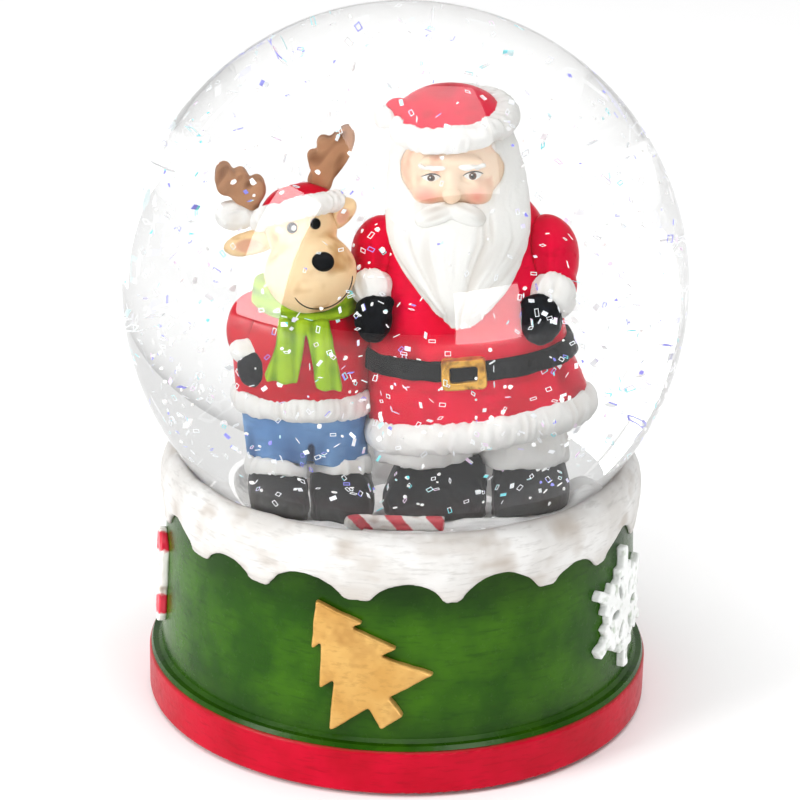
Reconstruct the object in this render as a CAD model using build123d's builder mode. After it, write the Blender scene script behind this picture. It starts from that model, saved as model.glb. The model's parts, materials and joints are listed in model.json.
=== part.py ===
from build123d import *
from math import cos, radians, sin, sqrt
import os

# Snow globe: a glass ball of water over a round painted base, with two standing figures inside.
# Millimetres. +Z is up, the front looks towards -Y, and the origin is under the ball on the table.

os.makedirs("parts", exist_ok=True)

# ------------------------------------------------------------------ driving dimensions
BALL_R = 50.0  # outside of the glass ball
GLASS = 2.0  # wall of the glass
BALL_Z = 77.4  # height of the ball's centre
NECK_R = 30.5  # outside of the short glass neck under the ball
NECK_BOTTOM = 31.0
LIP_R = 32.0  # rolled rim at the neck's end
LIP_H = 1.8
SEAT_GAP = 0.6  # glue between the ball and its seat
COLLAR_GAP = 0.3  # open line between the ball and the snow collar

PLINTH_R = 45.8
PLINTH_TOP = 8.8
LEDGE_TOP = 9.6
RIM_LIFT = 0.5  # the plinth hangs this far above the table, on its pad
CORE_R = 43.0  # the base casting inside the plinth ring
DRUM_FOOT = 10.2  # where the drum's side starts above the rounded ledge
DRUM_FOOT_R = 43.6
DRUM_TOP_R = 42.0
DRUM_TOP = 43.5
POCKET_R = 33.5  # round pocket that takes the neck and its stopper
POCKET_FLOOR = 27.0
CAVITY_R = 38.0  # hollow under the pocket, open downwards
CAVITY_TOP = 22.0
COVER_R = 40.0
COVER_T = 2.0
PAD_T = 1.0

MOUND_R = 27.9
MOUND_BOTTOM = 37.0
MOUND_TOP = 46.2
PATCH_TOP = 47.4  # low step of snow under the taller figure

RELIEF = 1.4  # how far the ornaments stand out of the drum

BOTTOM = (Align.CENTER, Align.CENTER, Align.MIN)  # solids that stand on their location
inner_r = BALL_R - GLASS
neck_bore = NECK_R - GLASS


# ------------------------------------------------------------------ helpers
EGG_END = 80  # an egg's side rises to this angle, and a small flat closes it


def stack(rows, ruled=False):
    """Loft through ellipses: (height, x, y, half width, half depth, lean in degrees)."""
    rings = []
    for height, x, y, half_width, half_depth, lean in rows:
        with BuildSketch(Plane((x, y, height)).rotated((0, -lean, 0))) as ring:
            Ellipse(half_width, half_depth)
        rings.append(ring.sketch)
    loft(sections=rings, ruled=ruled)


def egg(centre, radius, half_length, turn=(0, 0, 0)):
    """Add an upright egg with small flat ends, then turn it about its centre."""
    rises = (-EGG_END, -EGG_END / 2, 0, EGG_END / 2, EGG_END)
    side = [(radius * cos(radians(rise)), half_length * sin(radians(rise))) for rise in rises]
    with BuildSketch(Plane.XZ) as half:
        with BuildLine():
            Spline(*side)
            Polyline(side[-1], (0, side[-1][1]), (0, side[0][1]), side[0])
        make_face()
    body = revolve(half.sketch, axis=Axis.Z, mode=Mode.PRIVATE)
    add(body.moved(Location(centre, turn)))


def carve(*neighbours):
    """Cut finished neighbours out of the piece being made, so that the two only touch."""
    for neighbour in neighbours:
        add(neighbour.part, mode=Mode.SUBTRACT)


def keep_largest(piece):
    """Take away the crumbs that carving left beside the piece being made."""
    for crumb in piece.part.solids().sort_by(SortBy.VOLUME)[:-1]:
        add(crumb, mode=Mode.SUBTRACT)


def finish(piece, label):
    """Name the piece and write it."""
    piece.part.label = label
    export_step(piece.part, f"parts/{label}.step")


def drum_r(height):
    """Radius of the drum's tapered side at a height."""
    share = (height - DRUM_FOOT) / (DRUM_TOP - DRUM_FOOT)
    return DRUM_FOOT_R + (DRUM_TOP_R - DRUM_FOOT_R) * share


def side_plane(azimuth, height):
    """Plane that faces outwards on the drum: azimuth 0 is the front, positive to the right."""
    out = Vector(sin(radians(azimuth)), -cos(radians(azimuth)), 0)
    across = Vector(cos(radians(azimuth)), sin(radians(azimuth)), 0)
    return Plane(origin=(out.X * DRUM_TOP_R, out.Y * DRUM_TOP_R, height), x_dir=across, z_dir=out)


# ------------------------------------------------------------------ base
with BuildPart() as base_drum:
    with BuildSketch(Plane.XZ):
        with BuildLine():
            Polyline(
                (0, POCKET_FLOOR),
                (POCKET_R, POCKET_FLOOR),
                (POCKET_R, DRUM_TOP),
                (DRUM_TOP_R, DRUM_TOP),
                (DRUM_FOOT_R, DRUM_FOOT),
                (DRUM_FOOT_R + 0.6, LEDGE_TOP),
                (PLINTH_R - 0.6, LEDGE_TOP),
                (PLINTH_R - 0.3, PLINTH_TOP),
                (CORE_R, PLINTH_TOP),
                (CORE_R, RIM_LIFT),
                (COVER_R, RIM_LIFT),
                (COVER_R, PAD_T + COVER_T),
                (CAVITY_R, PAD_T + COVER_T),
                (CAVITY_R, CAVITY_TOP),
                (0, CAVITY_TOP),
                close=True,
            )
        make_face()
    revolve(axis=Axis.Z)
    with Locations((0, 0, BALL_Z)):
        Sphere(BALL_R + SEAT_GAP, mode=Mode.SUBTRACT)
finish(base_drum, "base_drum")

with BuildPart() as plinth_ring:
    with BuildSketch(Plane.XY.offset(RIM_LIFT)):
        Circle(PLINTH_R)
        Circle(CORE_R, mode=Mode.SUBTRACT)
    extrude(amount=PLINTH_TOP - RIM_LIFT)
    fillet(plinth_ring.edges().filter_by(GeomType.CIRCLE).group_by(SortBy.RADIUS)[-1], 0.8)
finish(plinth_ring, "plinth_ring")

with BuildPart() as base_cover:
    with BuildSketch(Plane.XY.offset(PAD_T)):
        Circle(COVER_R)
    extrude(amount=COVER_T)
finish(base_cover, "base_cover")

with BuildPart() as foot_pad:
    with BuildSketch():
        Circle(COVER_R)
    extrude(amount=PAD_T)
finish(foot_pad, "foot_pad")

# ------------------------------------------------------------------ snow collar
COLLAR_LOW = 35.2  # lowest drip
# Shallow bays between the drips: azimuth, height of the bay's crown, radius of the bay.
bays = [
    (-172, 38.0, 8), (-150, 37.4, 6), (-128, 38.6, 7), (-108, 37.2, 5), (-88, 37.6, 6),
    (-66, 39.2, 7), (-44, 38.2, 6), (-22, 39.4, 8), (2, 39.0, 7), (24, 39.8, 8),
    (46, 38.4, 6), (66, 39.4, 7), (88, 37.4, 6), (108, 38.6, 7), (130, 37.8, 6), (150, 38.8, 7),
]

with BuildPart() as snow_collar:
    with BuildSketch(Plane.XZ):
        with BuildLine():
            Spline((42.7, COLLAR_LOW), (43.3, 41.5), (42.6, 45.0), (41.1, 46.7), (39.8, 47.3))
            Polyline((39.8, 47.3), (34.0, 47.3), (34.0, COLLAR_LOW), (42.7, COLLAR_LOW))
        make_face()
    revolve(axis=Axis.Z)
    carve(base_drum)
    with Locations((0, 0, COLLAR_LOW)):
        Cylinder(DRUM_TOP_R, DRUM_TOP - COLLAR_LOW, align=BOTTOM, mode=Mode.SUBTRACT)
    with Locations((0, 0, BALL_Z)):
        Sphere(BALL_R + COLLAR_GAP, mode=Mode.SUBTRACT)
    for azimuth, crown, bay_r in bays:
        with Locations(side_plane(azimuth, crown - bay_r)):
            Cylinder(bay_r, 12, mode=Mode.SUBTRACT)
finish(snow_collar, "snow_collar")


# ------------------------------------------------------------------ ornaments on the drum
def relief_skin():
    """Thin band round the drum, as thick as the ornaments."""
    low, high = LEDGE_TOP + 2, COLLAR_LOW + 1
    with BuildPart() as skin:
        with BuildSketch(Plane.XZ):
            with BuildLine():
                Polyline(
                    (drum_r(low), low),
                    (drum_r(low) + RELIEF, low),
                    (drum_r(high) + RELIEF, high),
                    (drum_r(high), high),
                    close=True,
                )
            make_face()
        revolve(axis=Axis.Z)
    return skin


drum_skin = relief_skin()

TREE_LEAN = 33
with BuildPart() as tree_relief:
    with BuildSketch(side_plane(-9.5, 24.2)) as tree_shape:
        with BuildLine(mode=Mode.PRIVATE) as half:
            Polyline((0, 12.6), (5.2, 5.6), (2.9, 6.0), (7.8, -1.2), (4.4, -0.8), (10.4, -8.6), (1.9, -8.0))
            Polyline((1.9, -8.0), (2.2, -12.4), (0, -12.4), (0, 12.6))
        with Locations(Location((0, 0, 0), (0, 0, TREE_LEAN))):
            add(make_face(half.edges(), mode=Mode.PRIVATE))
            add(mirror(make_face(half.edges(), mode=Mode.PRIVATE), about=Plane.YZ, mode=Mode.PRIVATE))
    extrude(amount=6, both=True)
    add(drum_skin.part, mode=Mode.INTERSECT)
finish(tree_relief, "tree_relief")


def snowflake(plane):
    """Six-armed snowflake with side branches and an open loop between every two arms."""
    with BuildSketch(plane) as outline:
        with PolarLocations(5.6, 6, start_angle=30):
            Rectangle(11.6, 1.7)
        with PolarLocations(7.2, 6, start_angle=30):
            Rectangle(1.4, 5.6)
        with PolarLocations(3.6, 6):
            Ellipse(3.2, 2.0)
        with PolarLocations(4.0, 6):
            Ellipse(1.8, 0.9, mode=Mode.SUBTRACT)
    extrude(outline.sketch, amount=6, both=True)
    add(drum_skin.part, mode=Mode.INTERSECT)


def cane(plane):
    """Candy cane: a straight stick with a hooked top."""
    with BuildSketch(plane) as outline:
        with BuildLine():
            stick = Line((2.0, -7.4), (2.0, 3.6))
            JernArc(stick @ 1, stick % 1, 2.6, 190)
            offset(amount=1.6)
        make_face()
    extrude(outline.sketch, amount=6, both=True)
    add(drum_skin.part, mode=Mode.INTERSECT)


with BuildPart() as snowflake_relief_right:
    snowflake(side_plane(66, 24.2))
finish(snowflake_relief_right, "snowflake_relief_right")

with BuildPart() as snowflake_relief_back:
    snowflake(side_plane(-147, 24.0))
finish(snowflake_relief_back, "snowflake_relief_back")

with BuildPart() as cane_relief_left:
    cane(side_plane(-80, 24.6))
finish(cane_relief_left, "cane_relief_left")

with BuildPart() as cane_relief_back:
    cane(side_plane(141, 24.6))
finish(cane_relief_back, "cane_relief_back")

# ------------------------------------------------------------------ glass, stopper and glue
with BuildPart() as glass_globe:
    with Locations((0, 0, BALL_Z)):
        Sphere(BALL_R)
    with Locations((0, 0, NECK_BOTTOM)):
        Cylinder(NECK_R, 12, align=BOTTOM)
        Cylinder(LIP_R, LIP_H, align=BOTTOM)
    with Locations((0, 0, BALL_Z - BALL_R - 1)):
        Cylinder(neck_bore, 20, align=BOTTOM, mode=Mode.SUBTRACT)
    with Locations((0, 0, BALL_Z)):
        Sphere(inner_r, mode=Mode.SUBTRACT)
finish(glass_globe, "glass_globe")

with BuildPart() as stopper:
    with BuildSketch(Plane.XZ):
        with BuildLine():
            Polyline(
                (0, POCKET_FLOOR + 1),
                (LIP_R, POCKET_FLOOR + 1),
                (LIP_R, NECK_BOTTOM),
                (neck_bore, NECK_BOTTOM),
                (neck_bore, MOUND_BOTTOM - 0.6),
                (neck_bore - 0.6, MOUND_BOTTOM),
                (0, MOUND_BOTTOM),
                close=True,
            )
        make_face()
    revolve(axis=Axis.Z)
finish(stopper, "stopper")

with BuildPart() as glue_bead:
    with BuildSketch(Plane.XY.offset(38)):
        Circle(38.8)
        Circle(34.2, mode=Mode.SUBTRACT)
    extrude(amount=DRUM_TOP - 38)
    with Locations((0, 0, BALL_Z)):
        Sphere(BALL_R + SEAT_GAP, mode=Mode.INTERSECT)
        Sphere(BALL_R, mode=Mode.SUBTRACT)
    carve(base_drum)
finish(glue_bead, "glue_bead")

# ------------------------------------------------------------------ snow ground inside the ball
with BuildPart() as snow_mound:
    with BuildSketch(Plane.XZ):
        with BuildLine():
            Polyline((0, MOUND_TOP), (0, MOUND_BOTTOM), (MOUND_R, MOUND_BOTTOM), (MOUND_R, 42.6))
            Spline((MOUND_R, 42.6), (26.8, 45.2), (24.4, MOUND_TOP), tangents=((0, 1), (-1, 0)))
            Line((24.4, MOUND_TOP), (0, MOUND_TOP))
        make_face()
    revolve(axis=Axis.Z)
    stack([(MOUND_TOP - 1, 10.6, -1.5, 15.0, 13.0, 0), (PATCH_TOP, 10.6, -1.5, 13.6, 11.4, 0)])
    egg((21.8, 7.0, 46.0), 3.5, 5.4)
finish(snow_mound, "snow_mound")

GROUND_CANE_R = 1.35
with BuildPart() as ground_cane:
    with BuildLine(Plane.XY.offset(MOUND_TOP + GROUND_CANE_R)):
        stem = Line((6.4, -20.4), (-4.4, -20.0))
        JernArc(stem @ 1, stem % 1, 2.5, 150)
    with BuildSketch(Plane(origin=stem @ 0, z_dir=stem % 0)):
        Circle(GROUND_CANE_R)
    sweep()
    carve(snow_mound)
finish(ground_cane, "ground_cane")

# ------------------------------------------------------------------ Santa: legs and coat
with BuildPart() as santa_boot_left:
    stack([
        (PATCH_TOP, 4.8, -6.0, 6.5, 7.2, 0), (50.4, 4.6, -6.0, 6.8, 7.4, 0),
        (53.0, 5.0, -4.8, 6.2, 6.2, 0), (55.4, 5.0, -3.0, 5.4, 4.8, 0),
    ])
finish(santa_boot_left, "santa_boot_left")

with BuildPart() as santa_boot_right:
    stack([
        (PATCH_TOP, 17.2, -5.0, 5.0, 6.6, 0), (50.4, 17.3, -5.0, 5.2, 6.8, 0),
        (53.0, 17.0, -4.0, 4.9, 5.8, 0), (55.4, 16.6, -3.0, 4.5, 4.8, 0),
    ])
finish(santa_boot_right, "santa_boot_right")

with BuildPart() as santa_coat:
    stack([
        (58.4, 10.2, -1.8, 14.0, 11.6, 8), (62.0, 9.9, -1.8, 14.4, 12.0, 7),
        (66.0, 9.0, -1.7, 14.0, 11.9, 5), (70.0, 8.2, -1.6, 13.4, 11.6, 3),
        (76.0, 8.0, -1.4, 13.0, 11.0, 1), (82.0, 7.8, -1.2, 12.6, 9.8, 0),
        (87.0, 7.6, -1.0, 10.8, 7.8, 0), (91.0, 7.0, -1.0, 7.0, 5.4, 0),
    ])
finish(santa_coat, "santa_coat")

with BuildPart() as santa_boot_tops:
    stack([
        (54.4, 3.2, -3.0, 6.2, 6.4, 0), (55.6, 3.2, -3.0, 6.7, 6.9, 0),
        (58.0, 3.2, -3.0, 6.6, 6.6, 4), (59.6, 3.2, -3.0, 6.0, 6.0, 4),
    ])
    stack([
        (54.4, 16.2, -3.0, 5.4, 6.4, 0), (55.6, 16.2, -3.0, 5.8, 6.9, 0),
        (58.4, 16.2, -3.0, 5.6, 6.6, 4), (60.4, 16.2, -3.0, 5.2, 6.0, 4),
    ])
    carve(santa_coat, santa_boot_left, santa_boot_right)
finish(santa_boot_tops, "santa_boot_tops")

with BuildPart() as santa_hem_trim:
    stack([
        (57.9, 10.3, -1.8, 14.0, 11.8, 8), (58.7, 10.3, -1.8, 15.0, 12.9, 8),
        (60.2, 10.2, -1.8, 15.5, 13.4, 8), (61.7, 10.0, -1.8, 15.1, 12.9, 8),
        (62.5, 9.9, -1.8, 14.3, 11.9, 8),
    ])
    carve(santa_coat, santa_boot_tops)
finish(santa_hem_trim, "santa_hem_trim")

with BuildPart() as santa_belt:
    stack([(68.2, 8.5, -1.6, 14.5, 12.6, 3), (70.8, 8.1, -1.6, 14.1, 12.3, 3)])
    carve(santa_coat)
finish(santa_belt, "santa_belt")

with BuildPart() as santa_buckle:
    with BuildSketch(Plane((8.4, -15.0, 69.3), x_dir=(1, 0, 0.08), z_dir=(0, 1, 0))):
        RectangleRounded(6.2, 4.3, 0.7)
        RectangleRounded(4.0, 2.3, 0.3, mode=Mode.SUBTRACT)
    extrude(amount=3.0)
    carve(santa_coat, santa_belt)
finish(santa_buckle, "santa_buckle")

# ------------------------------------------------------------------ Santa: arms
with BuildPart() as santa_sleeve_left:
    egg((-2.6, -2.6, 81.8), 4.6, 6.2, (0, -8, 0))
    egg((-4.2, -4.8, 79.6), 3.1, 3.4)
    carve(santa_coat)
finish(santa_sleeve_left, "santa_sleeve_left")

with BuildPart() as santa_sleeve_right:
    egg((18.6, -2.6, 82.2), 4.8, 6.6, (0, 8, 0))
    egg((20.2, -5.0, 79.6), 3.2, 3.4)
    carve(santa_coat)
finish(santa_sleeve_right, "santa_sleeve_right")

with BuildPart() as santa_cuff_left:
    egg((-4.6, -7.6, 79.4), 2.8, 2.2, (90, 0, 0))
    carve(santa_coat, santa_sleeve_left)
finish(santa_cuff_left, "santa_cuff_left")

with BuildPart() as santa_cuff_right:
    egg((20.3, -7.8, 79.0), 3.3, 2.3, (90, 0, 0))
    carve(santa_coat, santa_sleeve_right)
finish(santa_cuff_right, "santa_cuff_right")

with BuildPart() as santa_mitten_left:
    egg((-4.3, -9.3, 75.8), 2.5, 3.5)
    carve(santa_coat, santa_sleeve_left, santa_cuff_left)
finish(santa_mitten_left, "santa_mitten_left")

with BuildPart() as santa_mitten_right:
    egg((18.9, -9.6, 76.2), 2.9, 3.7)
    carve(santa_coat, santa_sleeve_right, santa_cuff_right)
finish(santa_mitten_right, "santa_mitten_right")

# ------------------------------------------------------------------ Santa: head
with BuildPart() as santa_face:
    egg((6.2, -2.8, 96.0), 7.4, 8.2)
    carve(santa_coat)
finish(santa_face, "santa_face")

with BuildPart() as santa_beard:
    stack([
        (75.6, 7.9, -13.4, 0.9, 0.8, 0), (78.0, 7.8, -12.2, 3.8, 2.4, 0),
        (82.0, 7.5, -10.0, 7.4, 4.6, 0), (86.0, 7.2, -7.4, 9.4, 6.6, 0),
        (90.0, 7.0, -4.8, 9.9, 7.8, 0), (94.0, 6.6, -1.4, 9.4, 7.4, 0),
        (98.0, 6.3, -0.6, 8.8, 7.4, 0), (101.0, 6.2, -0.8, 7.6, 6.4, 0),
    ])
    carve(santa_coat, santa_face, santa_sleeve_left, santa_sleeve_right)
finish(santa_beard, "santa_beard")

with BuildPart() as santa_moustache:
    egg((4.0, -10.8, 91.4), 1.6, 3.0, (0, 70, 0))
    egg((8.4, -10.8, 91.6), 1.6, 3.0, (0, 110, 0))
    carve(santa_face, santa_beard)
finish(santa_moustache, "santa_moustache")

with BuildPart() as santa_nose:
    egg((6.2, -10.4, 94.6), 1.25, 1.3)
    carve(santa_face, santa_moustache)
finish(santa_nose, "santa_nose")

with BuildPart() as santa_hat:
    egg((5.4, -1.4, 102.2), 7.9, 4.5, (0, -6, 0))
    egg((-1.0, -1.8, 103.4), 1.9, 2.7, (0, -60, 0))
    with Locations(Location((6.2, -1.5, 91.4), (0, -6, 0))):
        Box(40, 40, 20, mode=Mode.SUBTRACT)
    carve(santa_face, santa_beard)
finish(santa_hat, "santa_hat")

with BuildPart() as santa_hat_trim:
    stack([
        (100.8, 6.2, -1.9, 8.4, 8.2, 6), (101.6, 6.2, -1.9, 9.0, 8.8, 6), (102.8, 6.2, -1.8, 9.2, 9.0, 6),
        (103.8, 6.1, -1.7, 8.8, 8.6, 6), (104.3, 6.0, -1.7, 8.2, 8.0, 6),
    ])
    carve(santa_face, santa_beard, santa_hat)
finish(santa_hat_trim, "santa_hat_trim")

with BuildPart() as santa_pompom:
    egg((-3.4, -2.6, 103.1), 1.7, 1.6)
    carve(santa_hat, santa_hat_trim)
finish(santa_pompom, "santa_pompom")

# ------------------------------------------------------------------ reindeer: legs and sweater
with BuildPart() as reindeer_boot_left:
    stack([
        (MOUND_TOP, -16.4, -7.0, 3.9, 6.4, 0), (49.4, -16.4, -7.0, 4.1, 6.6, 0),
        (51.4, -16.4, -5.6, 3.9, 5.4, 0), (53.0, -16.4, -4.6, 3.5, 4.2, 0),
    ])
finish(reindeer_boot_left, "reindeer_boot_left")

with BuildPart() as reindeer_boot_right:
    stack([
        (MOUND_TOP, -7.7, -4.6, 3.9, 6.4, 0), (49.6, -7.7, -4.6, 4.2, 6.6, 0),
        (51.8, -7.8, -3.4, 4.0, 5.4, 0), (53.4, -7.9, -2.6, 3.5, 4.2, 0),
    ])
    carve(santa_boot_left)
finish(reindeer_boot_right, "reindeer_boot_right")

with BuildPart() as reindeer_trousers:
    stack([
        (54.0, -12.4, -2.6, 7.8, 5.6, 0), (58.0, -12.8, -2.6, 8.0, 6.4, 0),
        (62.6, -13.1, -2.4, 8.3, 7.0, 0),
    ])
    with Locations((-12.2, -9.0, 54.0)):
        Box(0.7, 7.0, 7.0, mode=Mode.SUBTRACT)
    carve(santa_coat, santa_hem_trim, santa_boot_tops)
finish(reindeer_trousers, "reindeer_trousers")

with BuildPart() as reindeer_boot_tops:
    stack([
        (51.8, -16.4, -4.2, 4.0, 5.0, 0), (53.0, -16.4, -4.0, 4.3, 5.3, 0),
        (54.6, -16.2, -3.6, 4.0, 5.0, 0),
    ])
    stack([
        (52.2, -7.9, -2.6, 3.8, 4.8, 0), (53.4, -7.9, -2.6, 4.1, 5.1, 0),
        (55.0, -8.0, -2.6, 3.8, 4.8, 0),
    ])
    carve(reindeer_trousers, reindeer_boot_left, reindeer_boot_right)
finish(reindeer_boot_tops, "reindeer_boot_tops")

with BuildPart() as reindeer_sweater:
    stack([
        (61.6, -13.3, -2.4, 8.4, 7.4, 0), (66.0, -13.4, -2.4, 9.2, 8.0, 0),
        (71.0, -13.5, -2.6, 9.0, 7.6, 0), (75.0, -13.6, -2.8, 7.4, 6.4, 0),
        (78.4, -13.6, -3.0, 4.8, 4.6, 0),
    ])
    carve(reindeer_trousers, santa_coat, santa_belt, santa_hem_trim)
    carve(santa_sleeve_left, santa_cuff_left, santa_mitten_left)
finish(reindeer_sweater, "reindeer_sweater")

with BuildPart() as reindeer_hem_trim:
    stack([
        (60.6, -13.2, -2.4, 8.6, 7.6, 1), (61.4, -13.2, -2.4, 9.2, 8.3, 1),
        (62.6, -13.2, -2.4, 9.4, 8.5, 1), (63.6, -13.2, -2.4, 9.2, 8.2, 1),
        (64.4, -13.2, -2.4, 8.6, 7.5, 1),
    ])
    carve(reindeer_trousers, reindeer_sweater, santa_coat, santa_hem_trim)
finish(reindeer_hem_trim, "reindeer_hem_trim")

with BuildPart() as reindeer_sleeve:
    egg((-20.9, -3.6, 72.4), 3.0, 4.8, (0, 10, 0))
    carve(reindeer_sweater)
finish(reindeer_sleeve, "reindeer_sleeve")

with BuildPart() as reindeer_cuff:
    egg((-21.4, -5.8, 69.6), 2.2, 1.8)
    carve(reindeer_sweater, reindeer_sleeve)
finish(reindeer_cuff, "reindeer_cuff")

with BuildPart() as reindeer_mitten:
    egg((-20.5, -7.2, 67.4), 2.1, 2.6)
    carve(reindeer_sweater, reindeer_sleeve, reindeer_cuff)
finish(reindeer_mitten, "reindeer_mitten")

# ------------------------------------------------------------------ reindeer: head, cap and scarf
with BuildPart() as reindeer_head:
    egg((-14.5, -4.0, 86.8), 4.9, 5.0)
    egg((-13.2, -7.8, 81.6), 6.3, 5.4, (0, -6, 0))
    carve(reindeer_sweater)
finish(reindeer_head, "reindeer_head")

with BuildPart() as reindeer_nose:
    egg((-11.7, -12.7, 84.8), 1.2, 1.4, (0, 90, 0))
    carve(reindeer_head)
finish(reindeer_nose, "reindeer_nose")

with BuildPart() as reindeer_eyes:
    for x, y, z in [(-16.0, -8.3, 88.2), (-12.8, -8.1, 88.8)]:
        with Locations((x, y, z)):
            Sphere(0.6)
    carve(reindeer_head)
finish(reindeer_eyes, "reindeer_eyes")

CAP_SEAT = (-15.0, -3.2, 88.8)
CAP_TILT = (-25, -15, 0)  # the cap sits back on the head and leans to one side
with BuildPart() as reindeer_cap:
    egg(CAP_SEAT, 5.6, 3.6, CAP_TILT)
    carve(reindeer_head)
finish(reindeer_cap, "reindeer_cap")

with BuildPart() as reindeer_cap_trim:
    egg(CAP_SEAT, 6.6, 1.8, CAP_TILT)
    carve(reindeer_head, reindeer_cap)
finish(reindeer_cap_trim, "reindeer_cap_trim")

with BuildPart() as reindeer_cap_pompom:
    egg((-23.6, -2.4, 87.8), 2.0, 2.7, (0, 90, 0))
    carve(reindeer_cap_trim, reindeer_head)
finish(reindeer_cap_pompom, "reindeer_cap_pompom")

with BuildPart() as reindeer_ear_left:
    egg((-21.2, -3.6, 84.2), 1.6, 4.0, (0, 76, 0))
    carve(reindeer_head, reindeer_cap, reindeer_cap_pompom, reindeer_cap_trim)
finish(reindeer_ear_left, "reindeer_ear_left")

with BuildPart() as reindeer_ear_right:
    egg((-9.7, -3.6, 88.6), 1.8, 3.1, (0, 52, 0))
    carve(reindeer_head, reindeer_cap, reindeer_cap_trim)
finish(reindeer_ear_right, "reindeer_ear_right")

ANTLER_T = 2.2
with BuildPart() as reindeer_antler_left:
    with BuildSketch(Plane.XZ.offset(2.4)):
        for x, z, half_width, half_height, lean in [
            (-23.2, 91.6, 1.5, 3.6, 46), (-25.7, 93.3, 1.3, 2.3, 12), (-23.2, 92.6, 1.1, 2.0, 10),
            (-21.0, 91.5, 1.1, 1.9, -5),
        ]:
            with Locations((x, z)):
                Ellipse(half_width, half_height, rotation=lean)
    extrude(amount=ANTLER_T / 2, both=True)
    carve(reindeer_head, reindeer_cap, reindeer_cap_trim, reindeer_cap_pompom)
    keep_largest(reindeer_antler_left)
finish(reindeer_antler_left, "reindeer_antler_left")

with BuildPart() as reindeer_antler_right:
    with BuildSketch(Plane.XZ.offset(2.4)):
        for x, z, half_width, half_height, lean in [
            (-10.0, 97.2, 1.7, 4.4, -22), (-12.5, 95.6, 1.1, 1.9, 30), (-11.4, 97.9, 1.1, 1.9, 25),
            (-11.9, 93.2, 1.5, 2.5, -16),
        ]:
            with Locations((x, z)):
                Ellipse(half_width, half_height, rotation=lean)
    extrude(amount=ANTLER_T / 2, both=True)
    carve(reindeer_head, reindeer_cap, reindeer_cap_trim, reindeer_ear_right)
    keep_largest(reindeer_antler_right)
finish(reindeer_antler_right, "reindeer_antler_right")

with BuildPart() as reindeer_scarf:
    stack([
        (74.8, -13.5, -3.4, 6.8, 5.8, 0), (76.0, -13.5, -3.6, 7.5, 6.6, 0),
        (77.6, -13.5, -3.8, 7.3, 6.5, 0), (79.0, -13.5, -3.8, 6.4, 5.8, 0),
    ])
    carve(reindeer_sweater, reindeer_sleeve, reindeer_head, santa_sleeve_left, santa_coat)
finish(reindeer_scarf, "reindeer_scarf")

TAIL_T = 1.5
with BuildPart() as reindeer_scarf_tails:
    for top_x, foot_x, foot_half, foot_z in [(-15.3, -16.8, 2.1, 66.8), (-12.0, -10.3, 1.8, 66.0)]:
        with BuildSketch(Plane.XZ.offset(12.0)):
            with BuildLine():
                Polyline(
                    (top_x - 1.7, 75.4),
                    (foot_x - foot_half, foot_z),
                    (foot_x + foot_half, foot_z - 0.3),
                    (top_x + 1.7, 75.4),
                    close=True,
                )
            make_face()
        extrude(amount=-6.0)
    with BuildSketch(Plane.YZ.offset(-25)):
        with BuildLine():
            Polyline((-12.0, 78.0), (-10.6, 78.0), (-10.6, 74.0), (-12.0, 66.0), (-12.0, 60.0), (-16.0, 60.0),
                     (-16.0, 78.0), close=True)
        make_face()
    extrude(amount=30, mode=Mode.SUBTRACT)
    carve(reindeer_sweater, reindeer_scarf, reindeer_head)
finish(reindeer_scarf_tails, "reindeer_scarf_tails")

# ------------------------------------------------------------------ liquid and what floats in it
LIQUID_GAP = 0.3
with BuildPart() as liquid_fill:
    with Locations((0, 0, BALL_Z)):
        Sphere(inner_r - LIQUID_GAP)
    with Locations((0, 0, 20)):
        Cylinder(60, 20.5, align=BOTTOM, mode=Mode.SUBTRACT)
    with BuildPart(mode=Mode.PRIVATE) as figure_room:
        stack(
            [
                (38.0, 0, 0, 28.8, 28.8, 0), (51.0, 0, 0, 28.8, 28.8, 0), (58.0, -0.8, -2.0, 28.8, 19.0, 0),
                (97.0, -0.8, -2.0, 28.8, 16.0, 0), (106.0, 0, -2.0, 15.0, 12.0, 0), (111.0, 3, -2.0, 9.0, 9.0, 0),
            ],
            ruled=True,
        )
    add(figure_room.part, mode=Mode.SUBTRACT)
finish(liquid_fill, "liquid_fill")

FLAKE_RING = 31.0  # the flakes drift outside this radius, clear of the figures
FLAKE_LOW = 52.0
FLAKE_HIGH = 103.0
TURN = 137.5  # each flake lies this much further round than the last


def drift(count, start, reach):
    """Places spread round the ball outside the figures, each turned its own way."""
    spots = []
    for step in range(count):
        height = FLAKE_LOW + (FLAKE_HIGH - FLAKE_LOW) * (step + 0.5) / count
        wall = sqrt((inner_r - LIQUID_GAP - 1.2) ** 2 - (height - BALL_Z) ** 2)
        out = FLAKE_RING + (wall - FLAKE_RING) * ((step * reach) % 1.0)
        angle = radians(start + step * TURN)
        spots.append(Location((out * cos(angle), out * sin(angle), height), (step * 47, step * 71, step * 29)))
    return spots


with BuildPart() as glitter_flakes:
    with Locations(*drift(44, 0, 0.618)):
        Box(1.4, 0.9, 0.12)
finish(glitter_flakes, "glitter_flakes")

with BuildPart() as snow_flakes:
    with Locations(*drift(30, 60, 0.414)):
        Box(1.1, 1.0, 0.5)
finish(snow_flakes, "snow_flakes")
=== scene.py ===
import json
from itertools import product
from math import cos, pi, radians, sin, sqrt

import bmesh
import bpy
import numpy as np
import openvdb
from mathutils import Euler, Matrix, Vector
from mathutils.bvhtree import BVHTree


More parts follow.
